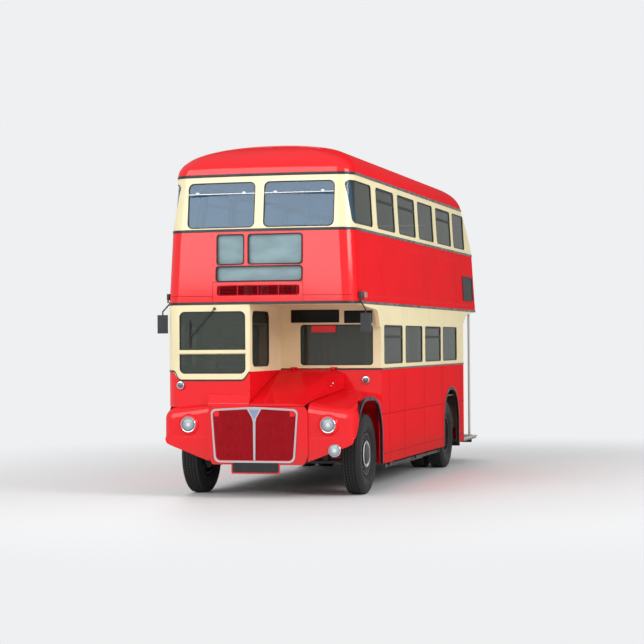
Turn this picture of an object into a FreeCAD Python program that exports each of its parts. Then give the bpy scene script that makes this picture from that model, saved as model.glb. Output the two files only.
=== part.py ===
"""Half-cab double-decker bus with an open rear platform.

Millimetres. X points to the nearside (the kerb side), Y to the rear and Z up. The origin lies
on the ground, in the middle of the bus. Distances along the bus are taken from the front axle
with at(), and heights from the ground.
"""
import FreeCAD, Part
import Sketcher
import math
import os

Vector = FreeCAD.Vector
Rotation = FreeCAD.Rotation
Placement = FreeCAD.Placement

doc = FreeCAD.newDocument("DoubleDeckerBus")
sheet = doc.addObject("Spreadsheet::Sheet", "Sizes")

# ---------------------------------------------------------------- driving dimensions
# name, value, meaning
SIZES = [
    ("overall_length", 8395, "grille surround to rear lamps"),
    ("body_width", 2438, "over the lower side panels"),
    ("overall_height", 4382, "ground to roof crown"),
    ("front_overhang", 900, "front panel of the upper deck to front axle"),
    ("wheelbase", 5131, "front axle to rear axle"),
    ("nose_proud", 12.5, "grille surround beyond the nose, rear lamps beyond the body"),
    ("nose_ahead", 57.5, "nose panel ahead of the upper deck"),
    ("body_wall", 45, "lower and upper wall, skin to lining"),
    ("skirt_bottom", 347, "lower edge of the side panels"),
    ("waist_height", 1565, "bottom of the lower window band"),
    ("deck_line", 2365, "top of the lower window band"),
    ("upper_sill", 3293, "bottom of the upper window band"),
    ("dome_start", 3565, "height where the rear dome begins"),
    ("cantrail_height", 3941, "top of the upper window band"),
    ("sill_inset", 44, "tumblehome each side at the upper sill"),
    ("dome_inset", 61, "tumblehome each side where the rear dome begins"),
    ("cantrail_inset", 79, "tumblehome each side at the cantrail"),
    ("front_radius", 200, "front corners in plan"),
    ("rear_radius", 150, "rear corners in plan, lower deck"),
    ("bulkhead_station", 470, "front bulkhead, behind the front axle"),
    ("platform_station", 6140, "platform bulkhead, behind the front axle"),
    ("bulkhead_wall", 40, "bulkhead thickness"),
    ("floor_height", 610, "top of the lower saloon floor"),
    ("platform_height", 380, "top of the platform"),
    ("floor_slab", 40, "floor thickness"),
    ("upper_floor_slab", 50, "upper deck floor thickness"),
    ("tyre_radius", 500, "outer radius of every tyre"),
    ("tyre_width", 244, "section width of every tyre"),
    ("rim_radius", 262, "bead seat radius"),
    ("front_track_half", 1030, "middle of a front wheel from the centre line"),
    ("twin_inner", 735, "middle of an inner rear tyre from the centre line"),
    ("kingpin_offset", 850, "kingpin from the centre line"),
    ("kingpin_radius", 24, "kingpin shaft"),
    ("stub_radius", 36, "stub axle and rear hub shaft"),
    ("running_gap", 0.05, "radial clearance of a shaft in its bearing"),
    ("seat_gap", 0.3, "gap between curved pieces that touch"),
    ("arch_top", 1174, "peak of the wheel arches"),
    ("arch_front_start", -560, "front arch, where its slope meets the crown"),
    ("arch_front_end", 494, "front arch, rear edge behind the front axle"),
    ("arch_radius", 470, "corner radius of the wheel arches"),
    ("rear_arch_before", 530, "rear arch, front edge before the rear axle"),
    ("rear_arch_behind", 580, "rear arch, rear edge behind the rear axle"),
    ("glass_depth", 14, "glass behind the outer skin"),
    ("glass_thickness", 6, "thickness of every pane"),
    ("window_corner", 45, "corner radius of the side windows"),
    ("lower_sill_rise", 47, "lower windows above the waist"),
    ("lower_head_drop", 250, "lower windows below the deck line"),
    ("upper_sill_rise", 47, "upper windows above the upper sill"),
    ("upper_head_drop", 69, "upper windows below the cantrail"),
    ("cab_side", -110, "nearside face of the cab, from the centre line"),
    ("cab_floor_height", 1150, "top of the cab floor"),
    ("bonnet_split", -104, "seam between fixed and opening bonnet"),
    ("bonnet_skin", 22, "bonnet and wing thickness"),
    ("door_gap", 6, "clearance round doors and flaps"),
    ("door_thickness", 28, "cab door leaf"),
    ("pole_radius", 16, "handrail tube"),
    ("seat_width", 850, "double seat"),
    ("seat_pitch", 730, "row to row"),
    ("stair_treads", 8, "treads between platform and upper deck"),
]
for row, (alias, value, meaning) in enumerate(SIZES, start=1):
    sheet.set("A%d" % row, alias)
    sheet.set("B%d" % row, str(value))
    sheet.setAlias("B%d" % row, alias)
    sheet.set("C%d" % row, meaning)
doc.recompute()


class Dim:
    """A length that knows its number and its spreadsheet formula."""

    def __init__(self, value, formula):
        self.value = float(value)
        self.formula = formula

    def joined(self, other, value, sign):
        return Dim(value, "(%s %s %s)" % (self.formula, sign, dim(other).formula))

    def __add__(self, other):
        return self.joined(other, self.value + dim(other).value, "+")

    def __radd__(self, other):
        return dim(other) + self

    def __sub__(self, other):
        return self.joined(other, self.value - dim(other).value, "-")

    def __rsub__(self, other):
        return dim(other) - self

    def __mul__(self, other):
        return self.joined(other, self.value * dim(other).value, "*")

    def __rmul__(self, other):
        return dim(other) * self

    def __truediv__(self, other):
        return self.joined(other, self.value / dim(other).value, "/")

    def __neg__(self):
        return Dim(-self.value, "(0 - %s)" % self.formula)


def dim(number):
    """The number as a Dim; a plain number stands for itself."""
    if isinstance(number, Dim):
        return number
    return Dim(number, "(0 - %.6f)" % -number if number < 0 else "%.6f" % number)


class SheetReader:
    """size.body_width is the Dim of the cell with that alias."""

    def __getattr__(self, alias):
        return Dim(sheet.get(alias), "Sizes.%s" % alias)


size = SheetReader()


def bind(feature, **places):
    """Bind properties to formulas; a double underscore in a name stands for a dot."""
    for name, number in places.items():
        feature.setExpression(name.replace("__", "."), dim(number).formula)


def bind_base(feature, x, y, z):
    bind(feature, Placement__Base__x=x, Placement__Base__y=y, Placement__Base__z=z)


# ---------------------------------------------------------------- shape helpers
def new(kind):
    return doc.addObject(kind, kind.split("::")[1])


def block(x0, x1, y0, y1, z0, z1):
    """A box between two corners."""
    box = new("Part::Box")
    bind(box, Length=dim(x1) - x0, Width=dim(y1) - y0, Height=dim(z1) - z0)
    bind_base(box, x0, y0, z0)
    return box


TURN = {"x": Rotation(Vector(0, 1, 0), 90), "y": Rotation(Vector(1, 0, 0), -90), "z": Rotation()}


def rod(axis, x, y, z, radius, length):
    """A cylinder that starts at a point and runs along +axis."""
    cylinder = new("Part::Cylinder")
    cylinder.Placement = Placement(Vector(), TURN[axis])
    bind(cylinder, Radius=radius, Height=length)
    bind_base(cylinder, x, y, z)
    return cylinder


def strut(start, end, radius):
    """A round bar between two points given as three lengths each."""
    first = Vector(*[dim(v).value for v in start])
    last = Vector(*[dim(v).value for v in end])
    cylinder = new("Part::Cylinder")
    cylinder.Placement = Placement(Vector(), Rotation(Vector(0, 0, 1), last - first))
    bind(cylinder, Radius=radius)
    cylinder.Height = (last - first).Length
    bind_base(cylinder, *start)
    return cylinder


def gathered(kind, shapes):
    if len(shapes) == 1:
        return shapes[0]
    group = new(kind)
    if kind == "Part::Compound":
        group.Links = shapes
    else:
        group.Shapes = shapes
    return group


def fuse(*shapes):
    """Pieces that are one solid."""
    return gathered("Part::MultiFuse", list(shapes))


def loose(*shapes):
    """Like pieces of one node that don't touch."""
    return gathered("Part::Compound", list(shapes))


def cut(base, *tools):
    result = new("Part::Cut")
    result.Base = base
    result.Tool = gathered("Part::Compound", list(tools)) if len(tools) == 1 else fuse(*tools)
    return result


def common(first, second):
    result = new("Part::Common")
    result.Base = first
    result.Tool = second
    return result


PLANES = {"xy": Rotation(), "xz": Rotation(Vector(1, 0, 0), 90), "yz": Rotation(Vector(1, 1, 1), 120)}


def sketch_on(plane, offset):
    """An empty sketch on a plane, moved along the plane's own normal axis."""
    sketch = new("Sketcher::SketchObject")
    sketch.Placement = Placement(Vector(), PLANES[plane])
    places = {"xy": (0, 0, offset), "xz": (0, offset, 0), "yz": (offset, 0, 0)}
    bind_base(sketch, *places[plane])
    return sketch


def hold(sketch, kind, element, end, number):
    """A distance from the sketch's origin, bound to its formula."""
    index = sketch.addConstraint(Sketcher.Constraint(kind, -1, 1, element, end, dim(number).value))
    sketch.setExpression("Constraints[%d]" % index, dim(number).formula)


def hold_radius(sketch, element, number):
    index = sketch.addConstraint(Sketcher.Constraint("Radius", element, dim(number).value))
    sketch.setExpression("Constraints[%d]" % index, dim(number).formula)


def short_arc(centre, radius, first, last):
    """The arc of under half a turn between two points, and which of its ends is the first."""
    a, b = first - centre, last - centre
    forward = a.x * b.y - a.y * b.x > 0
    begin, finish = (a, b) if forward else (b, a)
    start, stop = math.atan2(begin.y, begin.x), math.atan2(finish.y, finish.x)
    circle = Part.Circle(centre, Vector(0, 0, 1), radius)
    return Part.ArcOfCircle(circle, start, stop if stop > start else stop + 2 * math.pi), forward


def draw_loop(sketch, corners):
    """A closed loop of straight runs; a corner's third number rounds it with a tangent arc."""
    points = [Vector(dim(c[0]).value, dim(c[1]).value, 0) for c in corners]
    radii = [dim(c[2]) if len(c) > 2 else None for c in corners]
    count = len(points)
    leave, arrive, arcs = list(points), list(points), [None] * count
    for i in range(count):
        if radii[i] is None:
            continue
        before = (points[i - 1] - points[i]).normalize()
        after = (points[(i + 1) % count] - points[i]).normalize()
        half = before.getAngle(after) / 2
        reach = radii[i].value / math.tan(half)
        arrive[i] = points[i] + before * reach
        leave[i] = points[i] + after * reach
        centre = points[i] + (before + after).normalize() * (radii[i].value / math.sin(half))
        arcs[i] = short_arc(centre, radii[i].value, arrive[i], leave[i])
    lines = [sketch.addGeometry(Part.LineSegment(leave[i], arrive[(i + 1) % count]), False)
             for i in range(count)]
    for i in range(count):
        into, out = lines[i - 1], lines[i]
        if arcs[i] is None:
            sketch.addConstraint(Sketcher.Constraint("Coincident", into, 2, out, 1))
            hold(sketch, "DistanceX", out, 1, corners[i][0])
            hold(sketch, "DistanceY", out, 1, corners[i][1])
            continue
        curve, forward = arcs[i]
        arc = sketch.addGeometry(curve, False)
        corner = sketch.addGeometry(Part.Point(points[i]), True)
        sketch.addConstraint([
            Sketcher.Constraint("Tangent", into, 2, arc, 1 if forward else 2),
            Sketcher.Constraint("Tangent", arc, 2 if forward else 1, out, 1),
            Sketcher.Constraint("PointOnObject", corner, 1, into),
            Sketcher.Constraint("PointOnObject", corner, 1, out)])
        hold_radius(sketch, arc, corners[i][2])
        hold(sketch, "DistanceX", corner, 1, corners[i][0])
        hold(sketch, "DistanceY", corner, 1, corners[i][1])
    return sketch


def section(plane, offset, corners):
    return draw_loop(sketch_on(plane, offset), corners)


def profile(plane, start, end, corners):
    """A loop drawn on a plane and extruded between two places along its normal axis."""
    seat = end if plane == "xz" else start
    prism = new("Part::Extrusion")
    prism.Base = section(plane, seat, corners)
    prism.DirMode = "Normal"
    prism.Solid = True
    bind(prism, LengthFwd=dim(end) - start)
    return prism


def rectangle(u0, u1, v0, v1, radius=None):
    """The corners of a rectangle, rounded if a radius is given."""
    corners = [(u0, v0), (u1, v0), (u1, v1), (u0, v1)]
    return [c + (radius,) for c in corners] if radius is not None else corners


def turned(corners, x, y, z):
    """A loop of (along X, radius) turned about an X axis through a point."""
    spin = new("Part::Revolution")
    spin.Source = section("xz", 0, corners)
    spin.Axis = Vector(1, 0, 0)
    spin.Angle = 360
    spin.Solid = True
    bind_base(spin, x, y, z)
    return spin


def mirrored(loop, side):
    """The loop with its first numbers turned to one side of the centre line."""
    return [(dim(corner[0]) * side,) + tuple(corner[1:]) for corner in loop]


def loft(sections, ruled=False):
    body = new("Part::Loft")
    body.Sections = sections
    body.Solid = True
    body.Ruled = ruled
    return body


NODES = []


def node(name, feature):
    """Name a finished sub-part."""
    feature.Label = name
    NODES.append(feature)
    return feature


# ---------------------------------------------------------------- datums
half_width = size.body_width / 2
nose_y = -(size.overall_length / 2)
nose_face = nose_y + size.nose_proud
front_y = nose_face + size.nose_ahead
rear_y = size.overall_length / 2 - size.nose_proud
axle_y = front_y + size.front_overhang
rear_axle_y = axle_y + size.wheelbase
inner_wall = half_width - size.body_wall
bulkhead_y = axle_y + size.bulkhead_station
platform_y = axle_y + size.platform_station
SIDES = (("nearside", 1), ("offside", -1))


def at(station):
    """The place along the bus at a distance behind the front axle."""
    return axle_y + station


def side_span(side, inner, outer):
    """Two distances from the centre line as an ordered pair of X values on one side."""
    return (dim(inner), dim(outer)) if side > 0 else (-dim(outer), -dim(inner))


# ---------------------------------------------------------------- plan outlines
def outline(height, half, front, rear, front_corner, rear_corner, front_bow, rear_bow):
    """A closed plan outline: straight sides, bowed ends and rounded corners, all tangent."""
    sketch = sketch_on("xy", height)
    half, front, rear = dim(half), dim(front), dim(rear)
    # end: sign towards the middle of the bus, apex, corner radius, bow radius
    ends = ((1, front, dim(front_corner), dim(front_bow)), (-1, rear, dim(rear_corner), dim(rear_bow)))
    side_points, pieces = {}, []
    for sign, apex, corner, bow in ends:
        middle = Vector(0, apex.value + sign * bow.value, 0)
        out = half.value - corner.value
        drop = math.sqrt((bow.value - corner.value) ** 2 - out ** 2)
        touching = []
        for hand in (1, -1):
            centre = Vector(hand * out, middle.y - sign * drop, 0)
            touch = middle + (centre - middle) * (bow.value / (bow.value - corner.value))
            side = Vector(hand * half.value, centre.y, 0)
            side_points[sign, hand] = side
            touching.append(touch)
            pieces.append((short_arc(centre, corner.value, side, touch), side, touch, corner))
        pieces.append((short_arc(middle, bow.value, touching[0], touching[1]), touching[0],
                       touching[1], bow))
    for hand in (1, -1):
        first, last = side_points[1, hand], side_points[-1, hand]
        pieces.append(((Part.LineSegment(first, last), True), first, last, None))
    # element number and end at each point where two pieces meet
    meeting = {}
    for (curve, forward), first, last, radius in pieces:
        element = sketch.addGeometry(curve, False)
        for point, end in ((first, 1 if forward else 2), (last, 2 if forward else 1)):
            meeting.setdefault((round(point.x, 3), round(point.y, 3)), []).append((element, end))
        if radius is not None:
            hold_radius(sketch, element, radius)
    for (one, one_end), (other, other_end) in meeting.values():
        sketch.addConstraint(Sketcher.Constraint("Tangent", one, one_end, other, other_end))
    for element, sign in ((6, 1), (7, -1)):
        sketch.addConstraint(Sketcher.Constraint("Vertical", element))
        hold(sketch, "DistanceX", element, 1, half * sign)
    for element, (sign, apex, corner, bow) in zip((2, 5), ends):
        hold(sketch, "DistanceY", element, 3, apex + bow * sign)
        sketch.addConstraint(Sketcher.Constraint("PointOnObject", element, 3, -2))
    return sketch


BOW = 7.0        # end bow radius over half width
# height, tumblehome, front set back, rear set forward, rear corner radius, front corner radius
LEVELS = {
    "deck": (size.deck_line, dim(0), 0, 0, size.rear_radius, size.front_radius),
    "sill": (size.upper_sill, size.sill_inset, 34, 15, size.rear_radius + 70, size.front_radius + 5),
    "dome": (size.dome_start, size.dome_inset, 74, 55, size.rear_radius + 300, size.front_radius + 8),
    "cantrail": (size.cantrail_height, size.cantrail_inset, 126, 335, size.rear_radius + 550,
                 size.front_radius + 10),
}


def level_outline(level, inset=0, lift=0):
    """The body's plan outline at a named level, drawn inwards by an inset."""
    height, tumble, front_back, rear_back, rear_corner, front_corner = LEVELS[level]
    half = half_width - tumble
    return outline(height + lift, half - inset, front_y + front_back + inset,
                   rear_y - rear_back - inset, front_corner - inset, rear_corner - inset,
                   half * BOW - inset, half * BOW - inset)


ROOF_POWER = 0.83      # fullness of the roof's curve: 1 is an ellipse
ROOF_ANGLES = (0, 17, 34, 52, 68, 80)
DOME_LENGTH = 1000     # how far the front dome draws back at the crown
REAR_DOME_LENGTH = 900
REAR_DOME_RAKE = 330   # further draw of the rear dome, which leans forward from its foot


def roof_outline(angle, inset):
    """One level of the roof: the cantrail outline drawn in and up along a full quarter curve."""
    height, tumble, front_back, rear_back, rear_corner, front_corner = LEVELS["cantrail"]
    inward = math.cos(math.radians(angle)) ** ROOF_POWER
    upward = math.sin(math.radians(angle)) ** ROOF_POWER
    last_inward = math.cos(math.radians(ROOF_ANGLES[-1])) ** ROOF_POWER
    rise = size.overall_height - height - inset
    crown = math.sin(math.radians(ROOF_ANGLES[-1])) ** ROOF_POWER
    half = (half_width - tumble - inset) * inward
    blend = (1 - inward) / (1 - last_inward)

    def corner(first):
        share = (first - inset) / (half_width - tumble - inset)
        return half * (share * (1 - blend) + 0.93 * blend)

    return outline(height + rise * (upward / crown), half,
                   front_y + front_back + inset + DOME_LENGTH * (1 - inward),
                   rear_y - rear_back - inset - REAR_DOME_LENGTH * (1 - inward)
                   - REAR_DOME_RAKE * (upward / crown),
                   corner(front_corner), corner(rear_corner), half * BOW, half * BOW)


def band_solid(levels, inset=0, ruled=False):
    return loft([level_outline(level, inset) for level in levels], ruled)


def band_shell(levels, outer=0, inner=None, ruled=False):
    """The wall of the body between levels, from one inset to another."""
    inner = size.body_wall if inner is None else inner
    return cut(band_solid(levels, outer, ruled), band_solid(levels, inner, ruled))


# ---------------------------------------------------------------- window tables
lower_glass_bottom = size.waist_height + size.lower_sill_rise
lower_glass_top = size.deck_line - size.lower_head_drop
upper_glass_bottom = size.upper_sill + size.upper_sill_rise
upper_glass_top = size.cantrail_height - size.upper_head_drop

# start station, end station
LOWER_WINDOWS = ((635, 1752), (1915, 3040), (3210, 4353), (4495, 5600))
UPPER_WINDOWS = ((-700, 270), (512, 1566), (1779, 2883), (3070, 4130), (4356, 5465), (5635, 6560))
FAR = 400              # how far a cutting tool runs past what it cuts


def side_window_tools(windows, bottom, top, reach_in, shrink=0, sides=(1, -1), corner=None):
    """Prisms through the side walls, one for each window and side."""
    corner = size.window_corner if corner is None else corner
    tools = []
    for side in sides:
        low, high = side_span(side, reach_in, half_width + FAR)
        for start, end in windows:
            tools.append(profile("yz", low, high, rectangle(
                at(start) + shrink, at(end) - shrink, bottom + shrink, top - shrink, corner - shrink)))
    return tools


# ---------------------------------------------------------------- lower deck walls
def front_arch_tool(low, high):
    """The front wheel arch: a raked front edge, a flat crown and an upright rear edge."""
    return profile("yz", low, high, [
        (at(-1120), dim(400)), (at(size.arch_front_start), size.arch_top, size.arch_radius),
        (at(size.arch_front_end), size.arch_top, size.arch_radius),
        (at(size.arch_front_end), dim(-50)), (at(-1120), dim(-50))])


def skirt(side):
    low, high = side_span(side, inner_wall, half_width)
    arch_start = rear_axle_y - size.rear_arch_before
    arch_end = rear_axle_y + size.rear_arch_behind
    panel = profile("yz", low, high, [
        (bulkhead_y, size.skirt_bottom), (arch_start, size.skirt_bottom),
        (arch_start, size.arch_top, size.arch_radius), (arch_end, size.arch_top, size.arch_radius),
        (arch_end, size.skirt_bottom), (platform_y, size.skirt_bottom),
        (platform_y, size.waist_height), (bulkhead_y, size.waist_height)])
    return cut(panel, front_arch_tool(low - FAR, high + FAR))


def window_wall(side):
    low, high = side_span(side, inner_wall, half_width)
    wall = block(low, high, bulkhead_y, platform_y, size.waist_height, size.deck_line)
    tools = side_window_tools(LOWER_WINDOWS, lower_glass_bottom, lower_glass_top,
                              inner_wall - FAR, sides=(side,))
    return cut(wall, *tools)


def canopy_valance():
    """The curved cream edge under the nearside front of the upper deck."""
    return profile("yz", inner_wall, half_width, [
        (at(-760), size.deck_line), (bulkhead_y, size.deck_line), (bulkhead_y, dim(2080)),
        (bulkhead_y - 60, dim(2080), 20), (bulkhead_y - 190, dim(2300), 160)])


def platform_bracket():
    """The shallow curved bracket over the platform opening."""
    return profile("yz", inner_wall, half_width, [
        (platform_y, size.deck_line), (at(7150), size.deck_line), (platform_y + 260, dim(2310), 200),
        (platform_y + 40, dim(2180), 20), (platform_y, dim(2180))])


node("side_skirts", loose(skirt(1), skirt(-1)))
node("window_walls", loose(fuse(window_wall(1), canopy_valance(), platform_bracket()),
                           window_wall(-1)))


def lower_glass():
    panes = []
    for side in (1, -1):
        low, high = side_span(side, half_width - size.glass_depth - size.glass_thickness,
                              half_width - size.glass_depth)
        for start, end in LOWER_WINDOWS:
            panes.append(profile("yz", low, high, rectangle(
                at(start) + size.seat_gap, at(end) - size.seat_gap,
                lower_glass_bottom + size.seat_gap, lower_glass_top - size.seat_gap,
                size.window_corner - size.seat_gap)))
    return panes



# ---------------------------------------------------------------- bulkheads
UNDERFRAME_GAP = 470   # half width of the way through for the rails and the shaft
WHEEL_CLEAR = 640      # rear face of the wheel space, behind the front axle
WHEEL_TOP = 1060       # roof of the wheel space
CAB_WINDOW = (-950, -260)
SALOON_WINDOW = (152, 1111)


BULKHEAD_SILL_DROP = 10   # bulkhead windows start a little lower than the side windows
BULKHEAD_HEAD_RISE = 8    # and end a little higher


def bulkhead_window(span, shrink, start, end):
    return profile("xz", start, end, rectangle(
        dim(span[0]) + shrink, dim(span[1]) - shrink, lower_glass_bottom - BULKHEAD_SILL_DROP + shrink,
        lower_glass_top + BULKHEAD_HEAD_RISE - shrink, size.window_corner - shrink))


def front_bulkhead():
    """A wall with a step in it, so that the front wheels can turn beneath."""
    thick = size.bulkhead_wall
    wall = profile("yz", -inner_wall, inner_wall, [
        (bulkhead_y, dim(WHEEL_TOP)), (bulkhead_y, size.deck_line),
        (bulkhead_y + thick, size.deck_line), (bulkhead_y + thick, WHEEL_TOP + thick),
        (at(WHEEL_CLEAR) + thick, WHEEL_TOP + thick), (at(WHEEL_CLEAR) + thick, size.skirt_bottom),
        (at(WHEEL_CLEAR), size.skirt_bottom), (at(WHEEL_CLEAR), dim(WHEEL_TOP))])
    tools = [bulkhead_window(span, 0, bulkhead_y - FAR, bulkhead_y + FAR)
             for span in (CAB_WINDOW, SALOON_WINDOW)]
    tools.append(block(dim(-UNDERFRAME_GAP), dim(UNDERFRAME_GAP), bulkhead_y, at(WHEEL_CLEAR) + FAR,
                       dim(0), size.floor_height - size.floor_slab))
    return cut(wall, *tools)


def bulkhead_glass():
    panes = [bulkhead_window(span, size.seat_gap, bulkhead_y + size.glass_depth,
                             bulkhead_y + size.glass_depth + size.glass_thickness)
             for span in (CAB_WINDOW, SALOON_WINDOW)]
    return panes + [platform_pane(size.seat_gap, platform_y + size.glass_depth,
                                  platform_y + size.glass_depth + size.glass_thickness)]


DOORWAY_HALF = 350
DOORWAY_TOP = 2230
PLATFORM_PANE = (470, 1090)


def platform_pane(shrink, start, end):
    """The fixed light beside the platform doorway."""
    return profile("xz", start, end, rectangle(
        dim(PLATFORM_PANE[0]) + shrink, dim(PLATFORM_PANE[1]) - shrink, lower_glass_bottom + shrink,
        lower_glass_top - shrink, size.window_corner - shrink))


def platform_bulkhead():
    thick = size.bulkhead_wall
    wall = block(-inner_wall, inner_wall, platform_y, platform_y + thick,
                 size.floor_height - size.floor_slab, size.deck_line)
    doorway = profile("xz", platform_y - FAR, platform_y + FAR, [
        (dim(-DOORWAY_HALF), size.floor_height), (dim(DOORWAY_HALF), size.floor_height),
        (dim(DOORWAY_HALF), dim(DOORWAY_TOP), 120), (dim(-DOORWAY_HALF), dim(DOORWAY_TOP), 120)])
    return cut(wall, doorway, platform_pane(0, platform_y - FAR, platform_y + FAR))


node("bulkheads", loose(front_bulkhead(), platform_bulkhead()))

# ---------------------------------------------------------------- floors
WHEEL_BOX_INNER = 575  # inner face of the rear wheel boxes, from the centre line
WHEEL_BOX_TOP = 1095
WHEEL_BOX_SKIN = 20
box_front = rear_axle_y - 600
box_back = rear_axle_y + 640


def wheel_box(side):
    """The cover over a pair of rear tyres, open below and outwards."""
    skin = WHEEL_BOX_SKIN
    low, high = side_span(side, WHEEL_BOX_INNER, inner_wall)
    cover = block(low, high, box_front, box_back, size.floor_height - size.floor_slab,
                  dim(WHEEL_BOX_TOP))
    inside = side_span(side, WHEEL_BOX_INNER + skin, inner_wall + FAR)
    return cut(cover, block(inside[0], inside[1], box_front + skin, box_back - skin,
                            dim(-FAR), dim(WHEEL_BOX_TOP - skin)))


FINAL_DRIVE_X = -290   # the final drive lies to the offside of the centre line


def final_drive_space(skin, rise):
    """The low hump in the floor over the final drive."""
    return block(dim(FINAL_DRIVE_X - 120 + skin), dim(FINAL_DRIVE_X + 120 - skin),
                 rear_axle_y - 220 + skin, rear_axle_y + 220 - skin,
                 size.floor_height - size.floor_slab - skin, size.floor_height + rise)


def lower_floor():
    slab = block(-inner_wall, inner_wall, at(WHEEL_CLEAR) + size.bulkhead_wall, platform_y,
                 size.floor_height - size.floor_slab, size.floor_height)
    tools = []
    for side in (1, -1):
        low, high = side_span(side, WHEEL_BOX_INNER, inner_wall + FAR)
        tools.append(block(low, high, box_front, box_back, dim(-FAR), dim(WHEEL_BOX_TOP)))
    hump = cut(final_drive_space(0, 110), final_drive_space(20, 90))
    return fuse(cut(slab, *tools, final_drive_space(20, 90)), hump, wheel_box(1), wheel_box(-1))


node("lower_floor", lower_floor())


def plan_prism(bottom, top, inset=0, level="deck"):
    """The body's plan at a level, extruded between two heights."""
    prism = new("Part::Extrusion")
    height = LEVELS[level][0]
    prism.Base = level_outline(level, inset, dim(bottom) - height)
    prism.DirMode = "Normal"
    prism.Solid = True
    bind(prism, LengthFwd=dim(top) - bottom)
    return prism


def platform_floor():
    """The step-high platform with the rear of the body standing on it."""
    plan = plan_prism(size.platform_height - size.floor_slab, size.platform_height)
    return common(plan, block(-half_width, half_width, platform_y, rear_y,
                              dim(0), size.deck_line))


node("platform_floor", platform_floor())

STAIR_INNER = -520     # inner edge of the upper stair flight, from the centre line
STAIR_START = 60       # first riser, from the centre line
STAIR_TURN = 6790      # where the stair turns forward, behind the front axle
STAIR_TOP = 6190       # top riser, behind the front axle


def upper_floor():
    # the walls lean in as they rise past the slab's edge
    lean = size.sill_inset * size.upper_floor_slab / (size.upper_sill - size.deck_line)
    slab = plan_prism(size.deck_line, size.deck_line + size.upper_floor_slab,
                      size.body_wall + lean + 2)
    forward = block(-inner_wall, dim(STAIR_INNER), at(STAIR_TOP), rear_y - 60, 0, 3000)
    across = block(dim(STAIR_INNER - 10), dim(-60), at(STAIR_TURN), rear_y - 60, 0, 3000)
    return cut(slab, forward, across)


node("upper_floor", upper_floor())


# ---------------------------------------------------------------- rear lower wall and stair
REAR_WINDOW = (-480, 60)


def rear_window(shrink):
    return profile("xz", rear_y - FAR, rear_y + FAR, rectangle(
        dim(REAR_WINDOW[0]) + shrink, dim(REAR_WINDOW[1]) - shrink, lower_glass_bottom + shrink,
        lower_glass_top - shrink, size.window_corner - shrink))


def rear_lower_wall():
    """Offside quarter and rear panel, which shut in the stair; the nearside corner is open."""
    bottom = size.platform_height
    shell = cut(plan_prism(bottom, size.deck_line), plan_prism(bottom, size.deck_line, size.body_wall))
    keep = block(-half_width, dim(150), platform_y, rear_y, bottom, size.deck_line)
    side = profile("yz", -half_width, -inner_wall, rectangle(
        platform_y, platform_y + size.bulkhead_wall, bottom, size.deck_line))
    return cut(fuse(common(shell, keep), side), rear_window(0))


node("rear_lower_wall", rear_lower_wall())


def staircase():
    """Two treads across the rear, three winders in the corner and three treads forward."""
    rise = (size.deck_line + size.upper_floor_slab - size.platform_height) / (size.stair_treads + 1)
    back = rear_y - size.body_wall - 60
    turn = at(STAIR_TURN)
    off = -inner_wall + 2
    inner = dim(STAIR_INNER)
    start = dim(STAIR_START)
    middle = (start + inner) / 2
    step = (at(STAIR_TURN) - at(STAIR_TOP)) / 3
    # plan polygon of each tread, in climbing order
    plans = [
        [(start, turn), (start, back), (middle, back), (middle, turn)],
        [(middle, turn), (middle, back), (inner, back), (inner, turn)],
        [(inner, turn), (inner, back), (inner - 330, back)],
        [(inner, turn), (inner - 330, back), (off, back), (off, turn + 330)],
        [(inner, turn), (off, turn + 330), (off, turn)],
    ]
    for i in range(3):
        plans.append([(inner, turn - step * i), (off, turn - step * i),
                      (off, turn - step * (i + 1)), (inner, turn - step * (i + 1))])
    tread = 30
    steps = []
    for i, plan in enumerate(plans):
        top = size.platform_height + rise * (i + 1)
        lowest = top - rise - tread if i else size.platform_height
        steps.append(profile("xy", lowest, top, plan))
    return common(fuse(*steps), plan_prism(size.platform_height, size.deck_line,
                                           size.body_wall + size.seat_gap))


node("staircase", staircase())

# ---------------------------------------------------------------- upper deck
UPPER = ["sill", "dome", "cantrail"]
EMERGENCY_HALF = 420
EMERGENCY = (3345, 3800)


def front_window_tool(span, shrink=0):
    return profile("xz", front_y - FAR, front_y + FAR + 200, rectangle(
        dim(span[0]) + shrink, dim(span[1]) - shrink, upper_glass_bottom - 34 + shrink,
        upper_glass_top + shrink * -1, dim(70) - shrink))


FRONT_WINDOWS = ((-935, -55), (55, 935))


def emergency_tool(shrink=0):
    return profile("xz", rear_y - 900, rear_y + FAR, rectangle(
        dim(-EMERGENCY_HALF) + shrink, dim(EMERGENCY_HALF) - shrink, dim(EMERGENCY[0]) + shrink,
        dim(EMERGENCY[1]) - shrink, dim(60) - shrink))


# x start, x end, bottom, top, of each blind aperture on the front
BLINDS = ((-528, -189, 2861, 3220), (-129, 549, 2861, 3220), (-537, 549, 2653, 2830))
INTAKE = (-533, 518, 2475, 2600)


def blind_tool(blind, shrink, start, end):
    x0, x1, z0, z1 = [dim(v) for v in blind]
    return profile("xz", start, end, rectangle(x0 + shrink, x1 - shrink, z0 + shrink, z1 - shrink,
                                               dim(30) - shrink))


def upper_panels():
    shell = band_shell(["deck", "sill"], ruled=True)
    tools = [blind_tool(blind, 0, front_y - FAR, front_y + FAR) for blind in BLINDS]
    tools.append(blind_tool(INTAKE, 0, front_y - FAR, front_y + FAR))
    return cut(shell, *tools)


def upper_window_band():
    shell = band_shell(UPPER)
    tools = side_window_tools(UPPER_WINDOWS, upper_glass_bottom, upper_glass_top,
                              half_width - 400, corner=dim(60))
    tools += [front_window_tool(span) for span in FRONT_WINDOWS]
    tools.append(emergency_tool())
    return cut(shell, *tools)


node("upper_panels", upper_panels())
node("upper_window_band", upper_window_band())

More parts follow.
